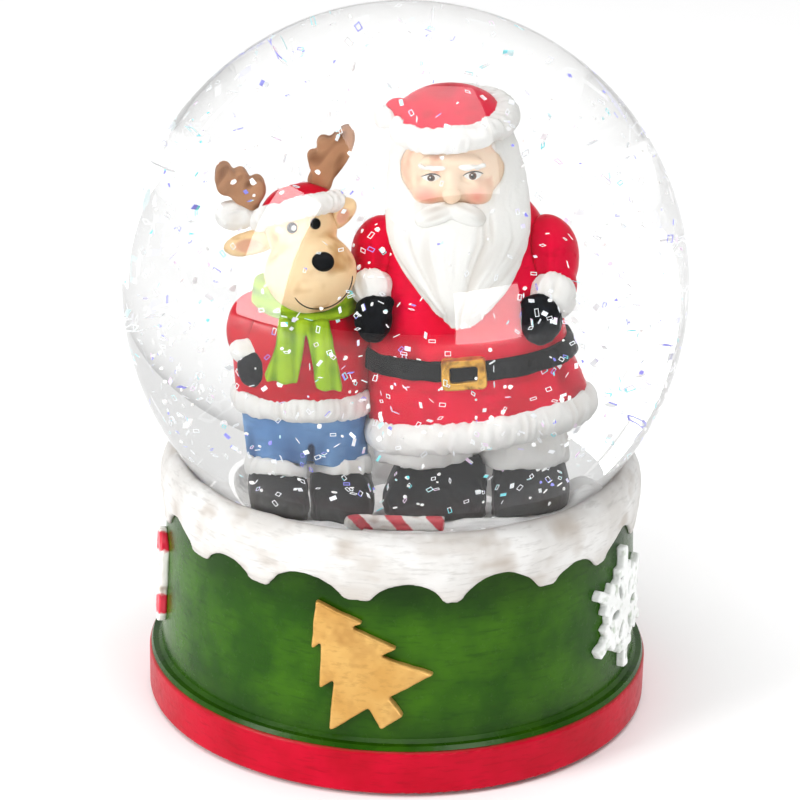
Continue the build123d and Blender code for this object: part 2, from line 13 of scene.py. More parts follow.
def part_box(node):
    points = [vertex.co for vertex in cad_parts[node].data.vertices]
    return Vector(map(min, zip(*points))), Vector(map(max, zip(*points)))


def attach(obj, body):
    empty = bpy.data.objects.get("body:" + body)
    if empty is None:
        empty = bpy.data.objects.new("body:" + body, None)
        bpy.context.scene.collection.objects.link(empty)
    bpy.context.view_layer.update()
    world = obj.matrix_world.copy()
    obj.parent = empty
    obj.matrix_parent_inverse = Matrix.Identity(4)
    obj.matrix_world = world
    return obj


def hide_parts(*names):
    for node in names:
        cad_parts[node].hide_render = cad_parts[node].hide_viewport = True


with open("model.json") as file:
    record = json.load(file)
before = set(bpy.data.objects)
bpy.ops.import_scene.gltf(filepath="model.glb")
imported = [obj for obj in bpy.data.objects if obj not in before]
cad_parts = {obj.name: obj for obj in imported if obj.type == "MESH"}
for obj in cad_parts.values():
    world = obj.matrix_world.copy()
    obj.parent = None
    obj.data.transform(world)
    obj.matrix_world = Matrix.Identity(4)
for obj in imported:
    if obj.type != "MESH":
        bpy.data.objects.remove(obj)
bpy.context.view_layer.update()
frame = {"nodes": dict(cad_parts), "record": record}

MM = 0.001
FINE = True
BODY = {node: body for body, nodes in frame["record"]["behaviour"]["bodies"].items() for node in nodes}


# ------------------------------------------------------------------ boxes of the frame, in mm
def low_high(*nodes):
    """Lowest and highest corner of some nodes together, in millimetres."""
    boxes = [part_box(node) for node in nodes]
    low = np.min([np.array(box[0]) for box in boxes], axis=0) / MM
    high = np.max([np.array(box[1]) for box in boxes], axis=0) / MM
    return low, high


def middle(node):
    """Centre of a node's box, in millimetres."""
    low, high = low_high(node)
    return (low + high) / 2


def half(node):
    """Half sizes of a node's box, in millimetres."""
    low, high = low_high(node)
    return (high - low) / 2


glass_low, glass_high = low_high("glass_globe")
BALL_R = (glass_high[0] - glass_low[0]) / 2
BALL = np.array([0.0, 0.0, glass_high[2] - BALL_R])
WALL = 2.0  # glass thickness, mm


# ------------------------------------------------------------------ node materials
def new_material(name):
    """Material with an empty Principled set-up: returns it, its nodes, its links and the shader."""
    mat = bpy.data.materials.new(name)
    mat.use_nodes = True
    tree = mat.node_tree
    return mat, tree.nodes, tree.links, tree.nodes["Principled BSDF"]


def noise_node(nodes, links, scale, detail=4.0, rough=0.55, stretch=None):
    """Noise in object space; stretch scales the three axes first. scale is in cells per metre."""
    coords = nodes.new("ShaderNodeTexCoord")
    source = coords.outputs["Object"]
    if stretch:
        mapping = nodes.new("ShaderNodeMapping")
        mapping.inputs["Scale"].default_value = stretch
        links.new(source, mapping.inputs["Vector"])
        source = mapping.outputs["Vector"]
    noise = nodes.new("ShaderNodeTexNoise")
    noise.inputs["Scale"].default_value = scale
    noise.inputs["Detail"].default_value = detail
    noise.inputs["Roughness"].default_value = rough
    links.new(source, noise.inputs["Vector"])
    return noise


def ramp_node(nodes, links, source, low, high, low_value=0.0, high_value=1.0):
    """Remap a value from [low, high] to [low_value, high_value], clamped."""
    span = nodes.new("ShaderNodeMapRange")
    span.inputs["From Min"].default_value = low
    span.inputs["From Max"].default_value = high
    span.inputs["To Min"].default_value = low_value
    span.inputs["To Max"].default_value = high_value
    links.new(source, span.inputs["Value"])
    return span.outputs["Result"]


def mix_node(nodes, links, factor, first, second):
    """Mix two colours (sockets or RGB tuples) by a factor socket or number."""
    mix = nodes.new("ShaderNodeMix")
    mix.data_type = "RGBA"
    for value, key in ((factor, 0), (first, 6), (second, 7)):
        if isinstance(value, (tuple, list)):
            mix.inputs[key].default_value = (*value, 1.0)
        elif isinstance(value, (int, float)):
            mix.inputs[key].default_value = value
        else:
            links.new(value, mix.inputs[key])
    return mix.outputs[2]


def math_node(nodes, links, operation, first, second=None):
    """One maths step on sockets or numbers."""
    step = nodes.new("ShaderNodeMath")
    step.operation = operation
    for value, key in ((first, 0), (second, 1)):
        if value is None:
            continue
        if isinstance(value, (int, float)):
            step.inputs[key].default_value = value
        else:
            links.new(value, step.inputs[key])
    return step.outputs[0]


def bump_node(nodes, links, shader, height, distance, strength=1.0):
    """Bump from a height socket; distance in metres."""
    bump = nodes.new("ShaderNodeBump")
    bump.inputs["Strength"].default_value = strength
    bump.inputs["Distance"].default_value = distance
    links.new(height, bump.inputs["Height"])
    links.new(bump.outputs["Normal"], shader.inputs["Normal"])
    return bump


WATER = 1.333
GLASS = 1.5  # how much each bends light


def paint(name, light, dark, roughness=0.4, coat=0.0, hollow_shade=None, streak=None, grain=900.0, bump=0.00006,
          wet=False, shine=0.5):
    """Hand-painted resin: tone drifts between two colours, painted shade darkens the hollows of the relief,
    brush marks and fine bumps.

    A wet paint lies under water, where its shine is much weaker than in air.
    """
    mat, nodes, links, shader = new_material(name)
    broad = noise_node(nodes, links, 95.0, 3.0)
    tone = ramp_node(nodes, links, broad.outputs["Fac"], 0.38, 0.62)
    colour = mix_node(nodes, links, tone, light, dark)
    if streak:
        brush = noise_node(nodes, links, 260.0, 3.0, 0.6, streak)
        marks = ramp_node(nodes, links, brush.outputs["Fac"], 0.52, 0.7, 0.0, 0.55)
        colour = mix_node(nodes, links, marks, colour, tuple(c * 0.72 for c in dark))
    # Painted shade: where the relief goes inwards the colour darkens towards the hollow colour, as shade
    # would fall there.
    if hollow_shade:
        depth = nodes.new("ShaderNodeAttribute")
        depth.attribute_name = "hollow_shade"
        deep = ramp_node(nodes, links, depth.outputs["Fac"], 0.55, 1.0)
        colour = mix_node(nodes, links, deep, colour, hollow_shade)
    links.new(colour, shader.inputs["Base Color"])
    fine = noise_node(nodes, links, grain, 5.0, 0.6)
    rough = ramp_node(nodes, links, fine.outputs["Fac"], 0.3, 0.7, roughness * 0.82, roughness * 1.22)
    links.new(rough, shader.inputs["Roughness"])
    bump_node(nodes, links, shader, fine.outputs["Fac"], bump)
    shader.inputs["Coat Weight"].default_value = 0.0 if wet else coat
    shader.inputs["Coat Roughness"].default_value = 0.08
    shader.inputs["IOR"].default_value = GLASS / WATER if wet else GLASS
    shader.inputs["Specular IOR Level"].default_value = shine
    return mat


def spots(mat, places):
    """Paint soft round spots on a material: (centre in mm, radii in mm, colour, softness)."""
    nodes, links = mat.node_tree.nodes, mat.node_tree.links
    shader = nodes["Principled BSDF"]
    colour = shader.inputs["Base Color"].links[0].from_socket
    for centre, radii, patch, soft in places:
        coords = nodes.new("ShaderNodeTexCoord")
        mapping = nodes.new("ShaderNodeMapping")
        mapping.vector_type = "TEXTURE"
        mapping.inputs["Location"].default_value = [c * MM for c in centre]
        mapping.inputs["Scale"].default_value = [r * MM for r in radii]
        links.new(coords.outputs["Object"], mapping.inputs["Vector"])
        length = nodes.new("ShaderNodeVectorMath")
        length.operation = "LENGTH"
        links.new(mapping.outputs["Vector"], length.inputs[0])
        cover = ramp_node(nodes, links, length.outputs["Value"], 1.0 - soft, 1.0, 1.0, 0.0)
        colour = mix_node(nodes, links, cover, colour, patch)
    links.new(colour, shader.inputs["Base Color"])


# ------------------------------------------------------------------ distance fields, in mm
BAND = 5  # half width of a level set, in voxels


def noise(points, size, seed):
    """Smooth value noise between -1 and 1; size is one cell's length or three lengths, mm."""
    table = np.random.default_rng(seed).random((32, 32, 32)) * 2 - 1
    scaled = points / np.asarray(size)
    cell = np.floor(scaled).astype(int)
    share = scaled - cell
    share = share * share * (3 - 2 * share)
    total = np.zeros(len(points))
    for corner in product((0, 1), repeat=3):
        weight = np.prod(np.where(corner, share, 1 - share), axis=1)
        i, j, k = ((cell + corner) % 32).T
        total += weight * table[i, j, k]
    return total


def triangles(obj):
    """Vertices in mm and triangles of a mesh object."""
    mesh = obj.data
    mesh.calc_loop_triangles()
    points = np.empty(len(mesh.vertices) * 3, np.float32)
    mesh.vertices.foreach_get("co", points)
    faces = np.empty(len(mesh.loop_triangles) * 3, np.int32)
    mesh.loop_triangles.foreach_get("vertices", faces)
    return points.reshape(-1, 3) / MM, faces.reshape(-1, 3).astype(np.uint32)


def blob(grid, centre, radii, turn=(0, 0, 0)):
    """Distance to an ellipsoid turned by three angles in degrees."""
    x, y, z = (g - c for g, c in zip(grid, centre))
    spin = np.array(Euler([radians(a) for a in turn]).to_matrix().transposed())
    local = [row[0] * x + row[1] * y + row[2] * z for row in spin]
    k0 = np.sqrt(sum((v / r) ** 2 for v, r in zip(local, radii)))
    k1 = np.sqrt(sum((v / r**2) ** 2 for v, r in zip(local, radii))) + 1e-6
    return k0 * (k0 - 1) / k1


def rod(grid, start, end, start_r, end_r):
    """Distance to a round bar whose radius changes from one end to the other."""
    start, end = np.array(start, float), np.array(end, float)
    along = end - start
    x, y, z = (g - c for g, c in zip(grid, start))
    share = np.clip((x * along[0] + y * along[1] + z * along[2]) / (along @ along), 0, 1)
    gap = np.sqrt((x - share * along[0]) ** 2 + (y - share * along[1]) ** 2 + (z - share * along[2]) ** 2)
    return gap - (start_r + (end_r - start_r) * share)


def band(grid, centre, radius, thick, turn=(0, 0, 0)):
    """Distance to a round band about a turned upright axis."""
    x, y, z = (g - c for g, c in zip(grid, centre))
    spin = np.array(Euler([radians(a) for a in turn]).to_matrix().transposed())
    u, v, w = (row[0] * x + row[1] * y + row[2] * z for row in spin)
    return np.sqrt((np.sqrt(u**2 + v**2) - radius) ** 2 + w**2) - thick


def below(grid, centre, turn=(0, 0, 0)):
    """Distance to the half of space under a turned level plane."""
    up = np.array(Euler([radians(a) for a in turn]).to_matrix())[:, 2]
    return sum((g - c) * n for g, c, n in zip(grid, centre, up))


def melt(first, second, blend):
    """Union of two fields with a soft joint of that width."""
    share = np.clip(0.5 + 0.5 * (second - first) / blend, 0, 1)
    return second + (first - second) * share - blend * share * (1 - share)


class Clay:
    """A block of field samples round some nodes that pieces are shaped from."""

    def __init__(self, nodes, voxel, margin=2.0):
        low, high = low_high(*nodes)
        self.voxel = voxel if FINE else voxel * 1.5
        self.first = np.floor((low - margin) / self.voxel).astype(int)
        last = np.ceil((high + margin) / self.voxel).astype(int)
        shape = last - self.first + 1
        axes = [(self.first[k] + np.arange(shape[k])) * self.voxel for k in range(3)]
        self.grid = np.meshgrid(*axes, indexing="ij", sparse=True)
        self.field = np.full(shape, BAND * self.voxel, np.float32)

    def cad(self, node, blend=0.0):
        """Add a CAD node's own shape."""
        points, faces = triangles(frame["nodes"][node])
        level = openvdb.FloatGrid.createLevelSetFromPolygons(
            points, triangles=faces, halfWidth=BAND,
            transform=openvdb.createLinearTransform(voxelSize=self.voxel),
        )
        piece = np.empty(self.field.shape, np.float32)
        level.copyToArray(piece, ijk=tuple(int(v) for v in self.first))
        self.field = melt(self.field, piece, blend) if blend else np.minimum(self.field, piece)
        return self

    def add(self, distance, blend=0.0):
        """Add a shape given by its distances."""
        joined = melt(self.field, distance, blend) if blend else np.minimum(self.field, distance)
        self.field = joined.astype(np.float32)
        return self

    def cut(self, distance):
        """Take a shape away."""
        self.field = np.maximum(self.field, -distance).astype(np.float32)
        return self

    def soften(self, passes):
        """Round edges off by averaging neighbours."""
        for _ in range(passes):
            for axis in range(3):
                f = np.moveaxis(self.field, axis, 0)
                f[1:-1] = 0.25 * f[:-2] + 0.5 * f[1:-1] + 0.25 * f[2:]
        return self

    def mesh(self, name, grow=0.0, relief=None):
        """Mesh the surface, push it out by grow and by relief(points, normals), and return the object."""
        volume = openvdb.FloatGrid(float(BAND * self.voxel))
        volume.transform = openvdb.createLinearTransform(voxelSize=self.voxel)
        volume.copyFromArray(self.field, ijk=tuple(int(v) for v in self.first))
        points, quads = volume.convertToQuads(isovalue=grow)
        return skin(name, points.astype(float), quads, relief)


def skin(name, points, quads, relief=None):
    """Object from points in mm and quads, smooth, with a value where relief goes inwards that paint() turns
    into painted shade.
    """
    mesh = bpy.data.meshes.new(name)
    mesh.vertices.add(len(points))
    mesh.vertices.foreach_set("co", (points * MM).ravel())
    mesh.loops.add(quads.size)
    mesh.loops.foreach_set("vertex_index", quads[:, ::-1].astype(np.int32).ravel())
    mesh.polygons.add(len(quads))
    mesh.polygons.foreach_set("loop_start", np.arange(0, quads.size, 4, dtype=np.int32))
    mesh.update(calc_edges=True)
    bm = bmesh.new()
    bm.from_mesh(mesh)
    if bm.calc_volume(signed=True) < 0:
        bmesh.ops.reverse_faces(bm, faces=bm.faces)
    bm.to_mesh(mesh)
    bm.free()
    for polygon in mesh.polygons:
        polygon.use_smooth = True
    # How deep each point lies in the relief, read by paint() for painted shade in the hollows.
    depth = mesh.attributes.new("hollow_shade", "FLOAT", "POINT")
    if relief is not None:
        normals = np.empty(len(points) * 3)
        mesh.vertices.foreach_get("normal", normals)
        normals = normals.reshape(-1, 3)
        height = relief(points, normals)
        spread = max(np.abs(height).max(), 1e-6)
        depth.data.foreach_set("value", np.clip(0.5 - 0.5 * height / spread, 0, 1).astype(np.float32))
        mesh.vertices.foreach_set("co", ((points + normals * height[:, None]) * MM).ravel())
        mesh.update()
    obj = bpy.data.objects.new(name, mesh)
    bpy.context.scene.collection.objects.link(obj)
    return obj


def place(obj, mat, node):
    """Give a piece its material, let it stand for a CAD node and ride with that node's body."""
    obj.data.materials.clear()
    obj.data.materials.append(mat)
    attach(obj, BODY[node])
    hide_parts(node)
    return obj


def trim(obj, mat, node):
    """Give an extra piece its material and let it ride with the body of a CAD node."""
    obj.data.materials.clear()
    obj.data.materials.append(mat)
    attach(obj, BODY[node])
    return obj


# ------------------------------------------------------------------ camera, world and lights
CAMERA_FAR = 0.52  # from the camera to the point under the ball
CAMERA_HIGH = 0.2332
CAMERA_ASIDE = -0.0005
CAMERA_DOWN = 0.365  # radians below level
CAMERA_ROLL = 0.0234
CAMERA_LENS = 124.5


def make_camera():
    """Camera in front of the globe, looking down on it."""
    data = bpy.data.cameras.new("camera")
    data.lens = CAMERA_LENS
    data.clip_start = 0.01
    camera = bpy.data.objects.new("camera", data)
    bpy.context.scene.collection.objects.link(camera)
    away = sqrt(CAMERA_FAR**2 - CAMERA_HIGH**2)
    aim = Matrix.Rotation(pi / 2 - CAMERA_DOWN, 4, "X")
    camera.matrix_world = Matrix.Translation((CAMERA_ASIDE, -away, CAMERA_HIGH)) @ aim @ Matrix.Rotation(
        CAMERA_ROLL, 4, "Z"
    )
    bpy.context.scene.camera = camera


def soft_light(name, azimuth, elevation, distance, size, watts):
    """Rectangular area light that faces the ball from an azimuth (0 is the front) and elevation."""
    data = bpy.data.lights.new(name, "AREA")
    data.shape = "RECTANGLE"
    data.size, data.size_y = size
    data.energy = watts
    light = bpy.data.objects.new(name, data)
    bpy.context.scene.collection.objects.link(light)
    a, e = radians(azimuth), radians(elevation)
    out = Vector((sin(a) * cos(e), -cos(a) * cos(e), sin(e)))
    target = Vector(BALL * MM)
    light.location = target + out * distance
    light.rotation_euler = (-out).to_track_quat("-Z", "Y").to_euler()


WORLD_FRONT = 0.2  # dim studio behind the camera
WORLD_BACK = 0.84  # bright paper behind the object


def make_world():
    """Studio light: dim in front of the globe and bright behind it."""
    world = bpy.data.worlds.new("studio")
    bpy.context.scene.world = world
    world.use_nodes = True
    nodes, links = world.node_tree.nodes, world.node_tree.links
    way = nodes.new("ShaderNodeTexCoord")
    split = nodes.new("ShaderNodeSeparateXYZ")
    links.new(way.outputs["Generated"], split.inputs["Vector"])
    back_share = ramp_node(nodes, links, split.outputs["Y"], -0.35, 0.25)
    tone = mix_node(nodes, links, back_share, (WORLD_FRONT,) * 3, (WORLD_BACK,) * 3)
    links.new(tone, nodes["Background"].inputs["Color"])
    bpy.context.scene.view_settings.view_transform = "Standard"


PAPER_LIGHT = (0.9, 0.9, 0.9)
PAPER_DARK = (0.88, 0.88, 0.88)


def make_floor():
    """Wide pale paper that the globe stands on."""
    mat, nodes, links, shader = new_material("floor_paper")
    speck = noise_node(nodes, links, 30.0, 4.0)
    paper = mix_node(nodes, links, speck.outputs["Fac"], PAPER_LIGHT, PAPER_DARK)
    links.new(paper, shader.inputs["Base Color"])
    shader.inputs["Roughness"].default_value = 0.8
    bump_node(nodes, links, shader, speck.outputs["Fac"], 0.0001)
    rings, spokes, reach = 5, 48, 6.0
    points = [(0.0, 0.0, 0.0)]
    for ring in range(1, rings + 1):
        radius = reach * (ring / rings) ** 2
        for k in range(spokes):
            angle = 2 * pi * k / spokes
            points.append((radius * cos(angle), radius * sin(angle), 0.0))
    faces = [(0, 1 + k, 1 + (k + 1) % spokes) for k in range(spokes)]
    for ring in range(rings - 1):
        a, b = 1 + ring * spokes, 1 + (ring + 1) * spokes
        faces += [(a + k, b + k, b + (k + 1) % spokes, a + (k + 1) % spokes) for k in range(spokes)]
    mesh = bpy.data.meshes.new("floor")
    mesh.from_pydata(points, [], faces)
    mesh.materials.append(mat)
    floor = bpy.data.objects.new("floor", mesh)
    bpy.context.scene.collection.objects.link(floor)


make_camera()
make_world()
make_floor()
soft_light("left_box", -58, 20, 1.0, (0.36, 0.86), 9.5)
soft_light("right_box", 32, 5, 1.0, (0.46, 0.36), 3.8)
soft_light("top_box", 20, 76, 2.0, (1.8, 1.8), 30.5)


# ------------------------------------------------------------------ lathe work
def lathe(name, profile, segments):
    """Turn a closed profile of (radius, height) in mm about the upright axis; returns the object."""
    angles = np.arange(segments) * 2 * pi / segments
    ring = np.array([(cos(a), sin(a)) for a in angles])
    points = np.array([(r * c, r * s, z) for r, z in profile for c, s in ring])
    count = len(profile)
    quads = []
    for i in range(count - 1):
        for j in range(segments):
            k = (j + 1) % segments
            this, above = i * segments, (i + 1) * segments
            quads.append((this + j, this + k, above + k, above + j))
    mesh = bpy.data.meshes.new(name)
    mesh.from_pydata([tuple(p) for p in points * MM], [], quads)
    bm = bmesh.new()
    bm.from_mesh(mesh)
    bmesh.ops.remove_doubles(bm, verts=bm.verts, dist=1e-7)
    bmesh.ops.recalc_face_normals(bm, faces=bm.faces)
    bm.to_mesh(mesh)
    bm.free()
    for polygon in mesh.polygons:
        polygon.use_smooth = True
    obj = bpy.data.objects.new(name, mesh)
    bpy.context.scene.collection.objects.link(obj)
    return obj


def arc(radius, start, stop, steps, centre_z):
    """Profile points on a circle about the axis, by angle above level in degrees."""
    for step in range(steps + 1):
        angle = radians(start + (stop - start) * step / steps)
        yield radius * cos(angle), centre_z + radius * sin(angle)


def clear_glass(name, ior, colour=(1, 1, 1)):
    """Smooth clear surface of glass or water, with a weak reflection."""
    mat, _, _, shader = new_material(name)
    shader.inputs["Base Color"].default_value = (*colour, 1.0)
    shader.inputs["Roughness"].default_value = 0.0
    shader.inputs["IOR"].default_value = ior
    shader.inputs["Transmission Weight"].default_value = 1.0
    shader.inputs["Specular IOR Level"].default_value = 0.3
    return mat


GLASS_COLOUR = (0.93, 0.932, 0.928)


def make_globe():
    """Ball with its neck and rolled lip. The wetted inside bends light as glass against water."""
    stopper_r = half("stopper")[0]
    neck_bore = stopper_r - 3.5
    neck_r = neck_bore + WALL
    bottom = glass_low[2]
    segments = 192 if FINE else 96
    inner = BALL_R - WALL
    low_out = -np.degrees(np.arccos(neck_r / BALL_R))
    low_in = -np.degrees(np.arccos(neck_bore / inner))
    lip = [(stopper_r, bottom), (stopper_r, bottom + 1.2), (stopper_r - 0.6, bottom + 1.8)]
    outside = [(neck_bore, bottom), *lip, (neck_r, bottom + 1.9), *arc(BALL_R, low_out, 90, 120, BALL[2])]
    inside = [*arc(inner, 90, low_in, 120, BALL[2]), (neck_bore, bottom)]
    globe = lathe("globe_glass_ball", outside + inside, segments)
    place(globe, clear_glass("globe_outer_glass", GLASS, GLASS_COLOUR), "glass_globe")
    globe.data.materials.append(clear_glass("globe_wetted_wall", GLASS / WATER))
    for polygon in globe.data.polygons:
        centre = np.array(polygon.center) / MM - BALL
        if np.linalg.norm(centre) < BALL_R - WALL / 2 and polygon.center[2] / MM > bottom + 0.5:
            polygon.material_index = 1


# ------------------------------------------------------------------ reliefs for sculpted skins
def unwrap(points, centre, axis=(0, 0, 1)):
    """Coordinates about an axis: way round, way along and radius, with the seam at the back."""
    axis = np.array(axis, float) / np.linalg.norm(axis)
    across = np.cross(axis, (0, 1, 0))
    across /= np.linalg.norm(across)
    front = np.cross(axis, across)
    away = points - np.asarray(centre)
    u, v = away @ across, away @ front
    radius = np.hypot(u, v)
    return np.stack([np.arctan2(u, v) * radius.mean(), away @ axis, radius], axis=1)


def fur(centre, axis=(0, 0, 1), size=0.75, depth=0.22, seed=1):
    """Relief of short combed fur whose locks run along an axis."""

    def relief(points, normals):
        locks = noise(unwrap(points, centre, axis), (size, size * 4, size * 4), seed)
        tufts = noise(points, size * 2.6, seed + 1)
        return depth * (0.8 * (0.5 - np.abs(locks) * 2) + 0.6 * tufts)

    return relief


def cloth(centre, levels, reach=4.0, depth=0.35, width=3.0, seed=1):
    """Relief of cloth gathered at some levels, over a slight unevenness."""

    def relief(points, normals):
        gather = noise(unwrap(points, centre), (width, 14, 9), seed)
        fade = sum(np.exp(-(((points[:, 2] - level) / reach) ** 2)) for level in levels)
        broad = noise(points, 5.5, seed + 1)
        fine = noise(points, 1.1, seed + 2)
        return depth * (gather * fade + 0.35 * broad + 0.06 * fine)

    return relief


def leather(depth=0.12, size=1.6, seed=1):
    """Relief of an uneven, brushed-over surface."""

    def relief(points, normals):
        return depth * (noise(points, size, seed) + 0.4 * noise(points, size * 0.4, seed + 1))

    return relief


def sculpt(node, mat, voxel=0.3, passes=2, grow=0.06, relief=None, work=None):
    """Shape a piece from a CAD node: work adds to the clay before it is softened and skinned."""
    clay = Clay([node], voxel).cad(node)
    if work:
        work(clay)
    clay.soften(passes)
    return place(clay.mesh(node + "_cast", grow, relief), mat, node)


# ------------------------------------------------------------------ paints
def tint(red, green, blue):
    """Linear colour of a paint given by how it looks, 0 to 255."""
    return tuple((value / 255) ** 2.2 for value in (red, green, blue))


def stripes(mat, across, pitch, share, colour, phase=0.0):
    """Paint bands on a material: across is their direction, pitch in mm, share the painted part."""
    nodes, links = mat.node_tree.nodes, mat.node_tree.links
    shader = nodes["Principled BSDF"]
    under = shader.inputs["Base Color"].links[0].from_socket
    coords = nodes.new("ShaderNodeTexCoord")
    dot = nodes.new("ShaderNodeVectorMath")
    dot.operation = "DOT_PRODUCT"
    dot.inputs[1].default_value = Vector(across).normalized() / (pitch * MM)
    links.new(coords.outputs["Object"], dot.inputs[0])
    wobble = noise_node(nodes, links, 600.0, 3.0)
    turn = math_node(nodes, links, "MULTIPLY", wobble.outputs["Fac"], 0.16)
    turn = math_node(nodes, links, "ADD", turn, dot.outputs["Value"])
    turn = math_node(nodes, links, "ADD", turn, phase)
    turn = math_node(nodes, links, "FRACT", turn)
    turn = math_node(nodes, links, "PINGPONG", turn, 0.5)
    cover = ramp_node(nodes, links, turn, share / 2 - 0.02, share / 2 + 0.02, 1.0, 0.0)
    links.new(mix_node(nodes, links, cover, under, colour), shader.inputs["Base Color"])
    return mat


FUR = paint(
    "fur_paint", tint(248, 247, 244), tint(244, 243, 240), 0.6,
    hollow_shade=tint(236, 232, 226), grain=1600, wet=True,
)
COAT = paint(
    "coat_paint", tint(240, 6, 62), tint(226, 2, 48), 0.3,
    hollow_shade=tint(158, 0, 26), streak=(1, 1, 3), wet=True,
)
SWEATER = paint(
    "sweater_paint", tint(228, 6, 50), tint(204, 2, 36), 0.34,
    hollow_shade=tint(124, 0, 18), streak=(1, 1, 3), wet=True,
)
BLACK = paint(
    "black_paint", tint(26, 29, 34), tint(13, 15, 19), 0.36,
    hollow_shade=tint(6, 7, 8), streak=(1, 3, 1), wet=True,
)
BELT = paint(
    "belt_paint", tint(22, 25, 29), tint(12, 14, 17), 0.22,
    hollow_shade=tint(6, 6, 8), wet=True,
)
GOLD = paint(
    "gold_paint", tint(240, 192, 98), tint(220, 164, 70), 0.3,
    hollow_shade=tint(130, 84, 32), streak=(1, 2, 5), wet=True,
)
BEARD = paint(
    "beard_paint", tint(248, 248, 245), tint(242, 241, 237), 0.5,
    hollow_shade=tint(218, 212, 204), grain=1300, wet=True,
)
SKIN = paint(
    "skin_paint", tint(252, 224, 196), tint(248, 214, 184), 0.42,
    hollow_shade=tint(228, 172, 140), wet=True,
)
FAWN = paint(
    "fawn_paint", tint(252, 224, 180), tint(247, 212, 162), 0.4,
    hollow_shade=tint(196, 144, 88), wet=True,
)
ANTLER = paint(
    "antler_paint", tint(196, 148, 112), tint(172, 122, 88), 0.42,
    hollow_shade=tint(116, 74, 48), wet=True,
)
SCARF = paint(
    "scarf_paint", tint(174, 208, 48), tint(150, 190, 34), 0.4,
    hollow_shade=tint(96, 136, 16), streak=(3, 3, 1), wet=True,
)
DENIM = paint(
    "denim_paint", tint(132, 176, 224), tint(102, 148, 204), 0.45,
    hollow_shade=tint(60, 98, 152), streak=(1, 1, 4), wet=True,
)
SNOW = paint(
    "snow_paint", tint(250, 250, 250), tint(242, 242, 241), 0.6,
    hollow_shade=tint(214, 211, 208), streak=(1, 1, 4), wet=True,
)
GOLD.node_tree.nodes["Principled BSDF"].inputs["Metallic"].default_value = 0.55


# ------------------------------------------------------------------ base
def paint_and_shade_band(mat, colour, low, high, strength, size=60.0):
    """Lay a darker colour over a height range in mm, fading from low to high, broken up by noise; it serves
    both painted shade and a real band of paint.
    """
    nodes, links = mat.node_tree.nodes, mat.node_tree.links
    shader = nodes["Principled BSDF"]
    under = shader.inputs["Base Color"].links[0].from_socket
    coords = nodes.new("ShaderNodeTexCoord")
    split = nodes.new("ShaderNodeSeparateXYZ")
    links.new(coords.outputs["Object"], split.inputs["Vector"])
    level = ramp_node(nodes, links, split.outputs["Z"], low * MM, high * MM)
    broken = noise_node(nodes, links, size, 5.0, 0.6, (1, 1, 2))
    patch = ramp_node(nodes, links, broken.outputs["Fac"], 0.25, 0.7, 0.45, 1.0)
    cover = math_node(nodes, links, "MULTIPLY", level, patch)
    cover = math_node(nodes, links, "MULTIPLY", cover, strength)
    links.new(mix_node(nodes, links, cover, under, colour), shader.inputs["Base Color"])
    return mat


def dress(node, mat):
    """Give a CAD node that stays a new material."""
    obj = frame["nodes"][node]
    for slot in obj.material_slots:
        slot.material = mat


def make_base():
    """New paints for the base and the parts under it."""
    drum_top = low_high("base_drum")[1][2]
    ledge = low_high("plinth_ring")[1][2]
    collar_low = low_high("snow_collar")[0][2]
    green = paint(
        "drum_green_paint", tint(54, 94, 12), tint(36, 72, 6), 0.24, streak=(1, 1, 6), grain=700, shine=0.14
    )
    # Painted shade: the green darkens towards its top, under the overhanging collar, and towards the ledge
    # at its foot.
    paint_and_shade_band(green, tint(16, 34, 4), collar_low - 5, drum_top - 5, 0.9)
    paint_and_shade_band(green, tint(26, 52, 12), ledge + 8, ledge + 1, 0.7)
    dress("base_drum", green)
    red = paint(
        "plinth_red_paint", tint(184, 4, 42), tint(166, 2, 34), 0.34, streak=(1, 1, 6), grain=800, shine=0.12
    )
    # A real band of green paint on the plinth's top ledge.
    paint_and_shade_band(red, tint(40, 62, 26), ledge - 0.6, ledge + 0.2, 1.0, 500.0)
    dress("plinth_ring", red)
    dress("base_cover", paint("board", tint(128, 104, 78), tint(112, 90, 66), 0.75, grain=2200))
    dress("foot_pad", paint("felt", tint(40, 44, 42), tint(28, 32, 30), 0.95, grain=2600, bump=0.0002))
    dress("stopper", paint("rubber", tint(196, 192, 184), tint(180, 176, 168), 0.6))
    bead = clear_glass("cured_glue", 1.45, (0.96, 0.96, 0.93))
    bead.node_tree.nodes["Principled BSDF"].inputs["Roughness"].default_value = 0.12
    dress("glue_bead", bead)


def make_collar():
    """Snow collar with brushed, lumpy outer sides."""
    low, high = low_high("snow_collar")

    def brushed(points, normals):
        around = unwrap(points, (0, 0, 0))
        strokes = noise(around, (5.0, 0.8, 3.0), 31)
        lumps = noise(points, 4.5, 32)
        fine = noise(points, 1.2, 33)
        outer = np.clip((np.hypot(points[:, 0], points[:, 1]) - 34.5) / 2, 0, 1)
        return outer * (0.08 * strokes + 0.26 * lumps + 0.05 * fine)

    mat = paint(
        "collar_paint", tint(214, 213, 211), tint(196, 193, 189), 0.5,
        hollow_shade=tint(170, 160, 150), streak=(1, 1, 6), shine=0.3,
    )
    # The collar is darker towards its lower edge.
    paint_and_shade_band(mat, tint(172, 162, 152), high[2] - 8, low[2] + 1, 0.4, 110.0)
    sculpt("snow_collar", mat, 0.34, 2, 0.2, brushed)


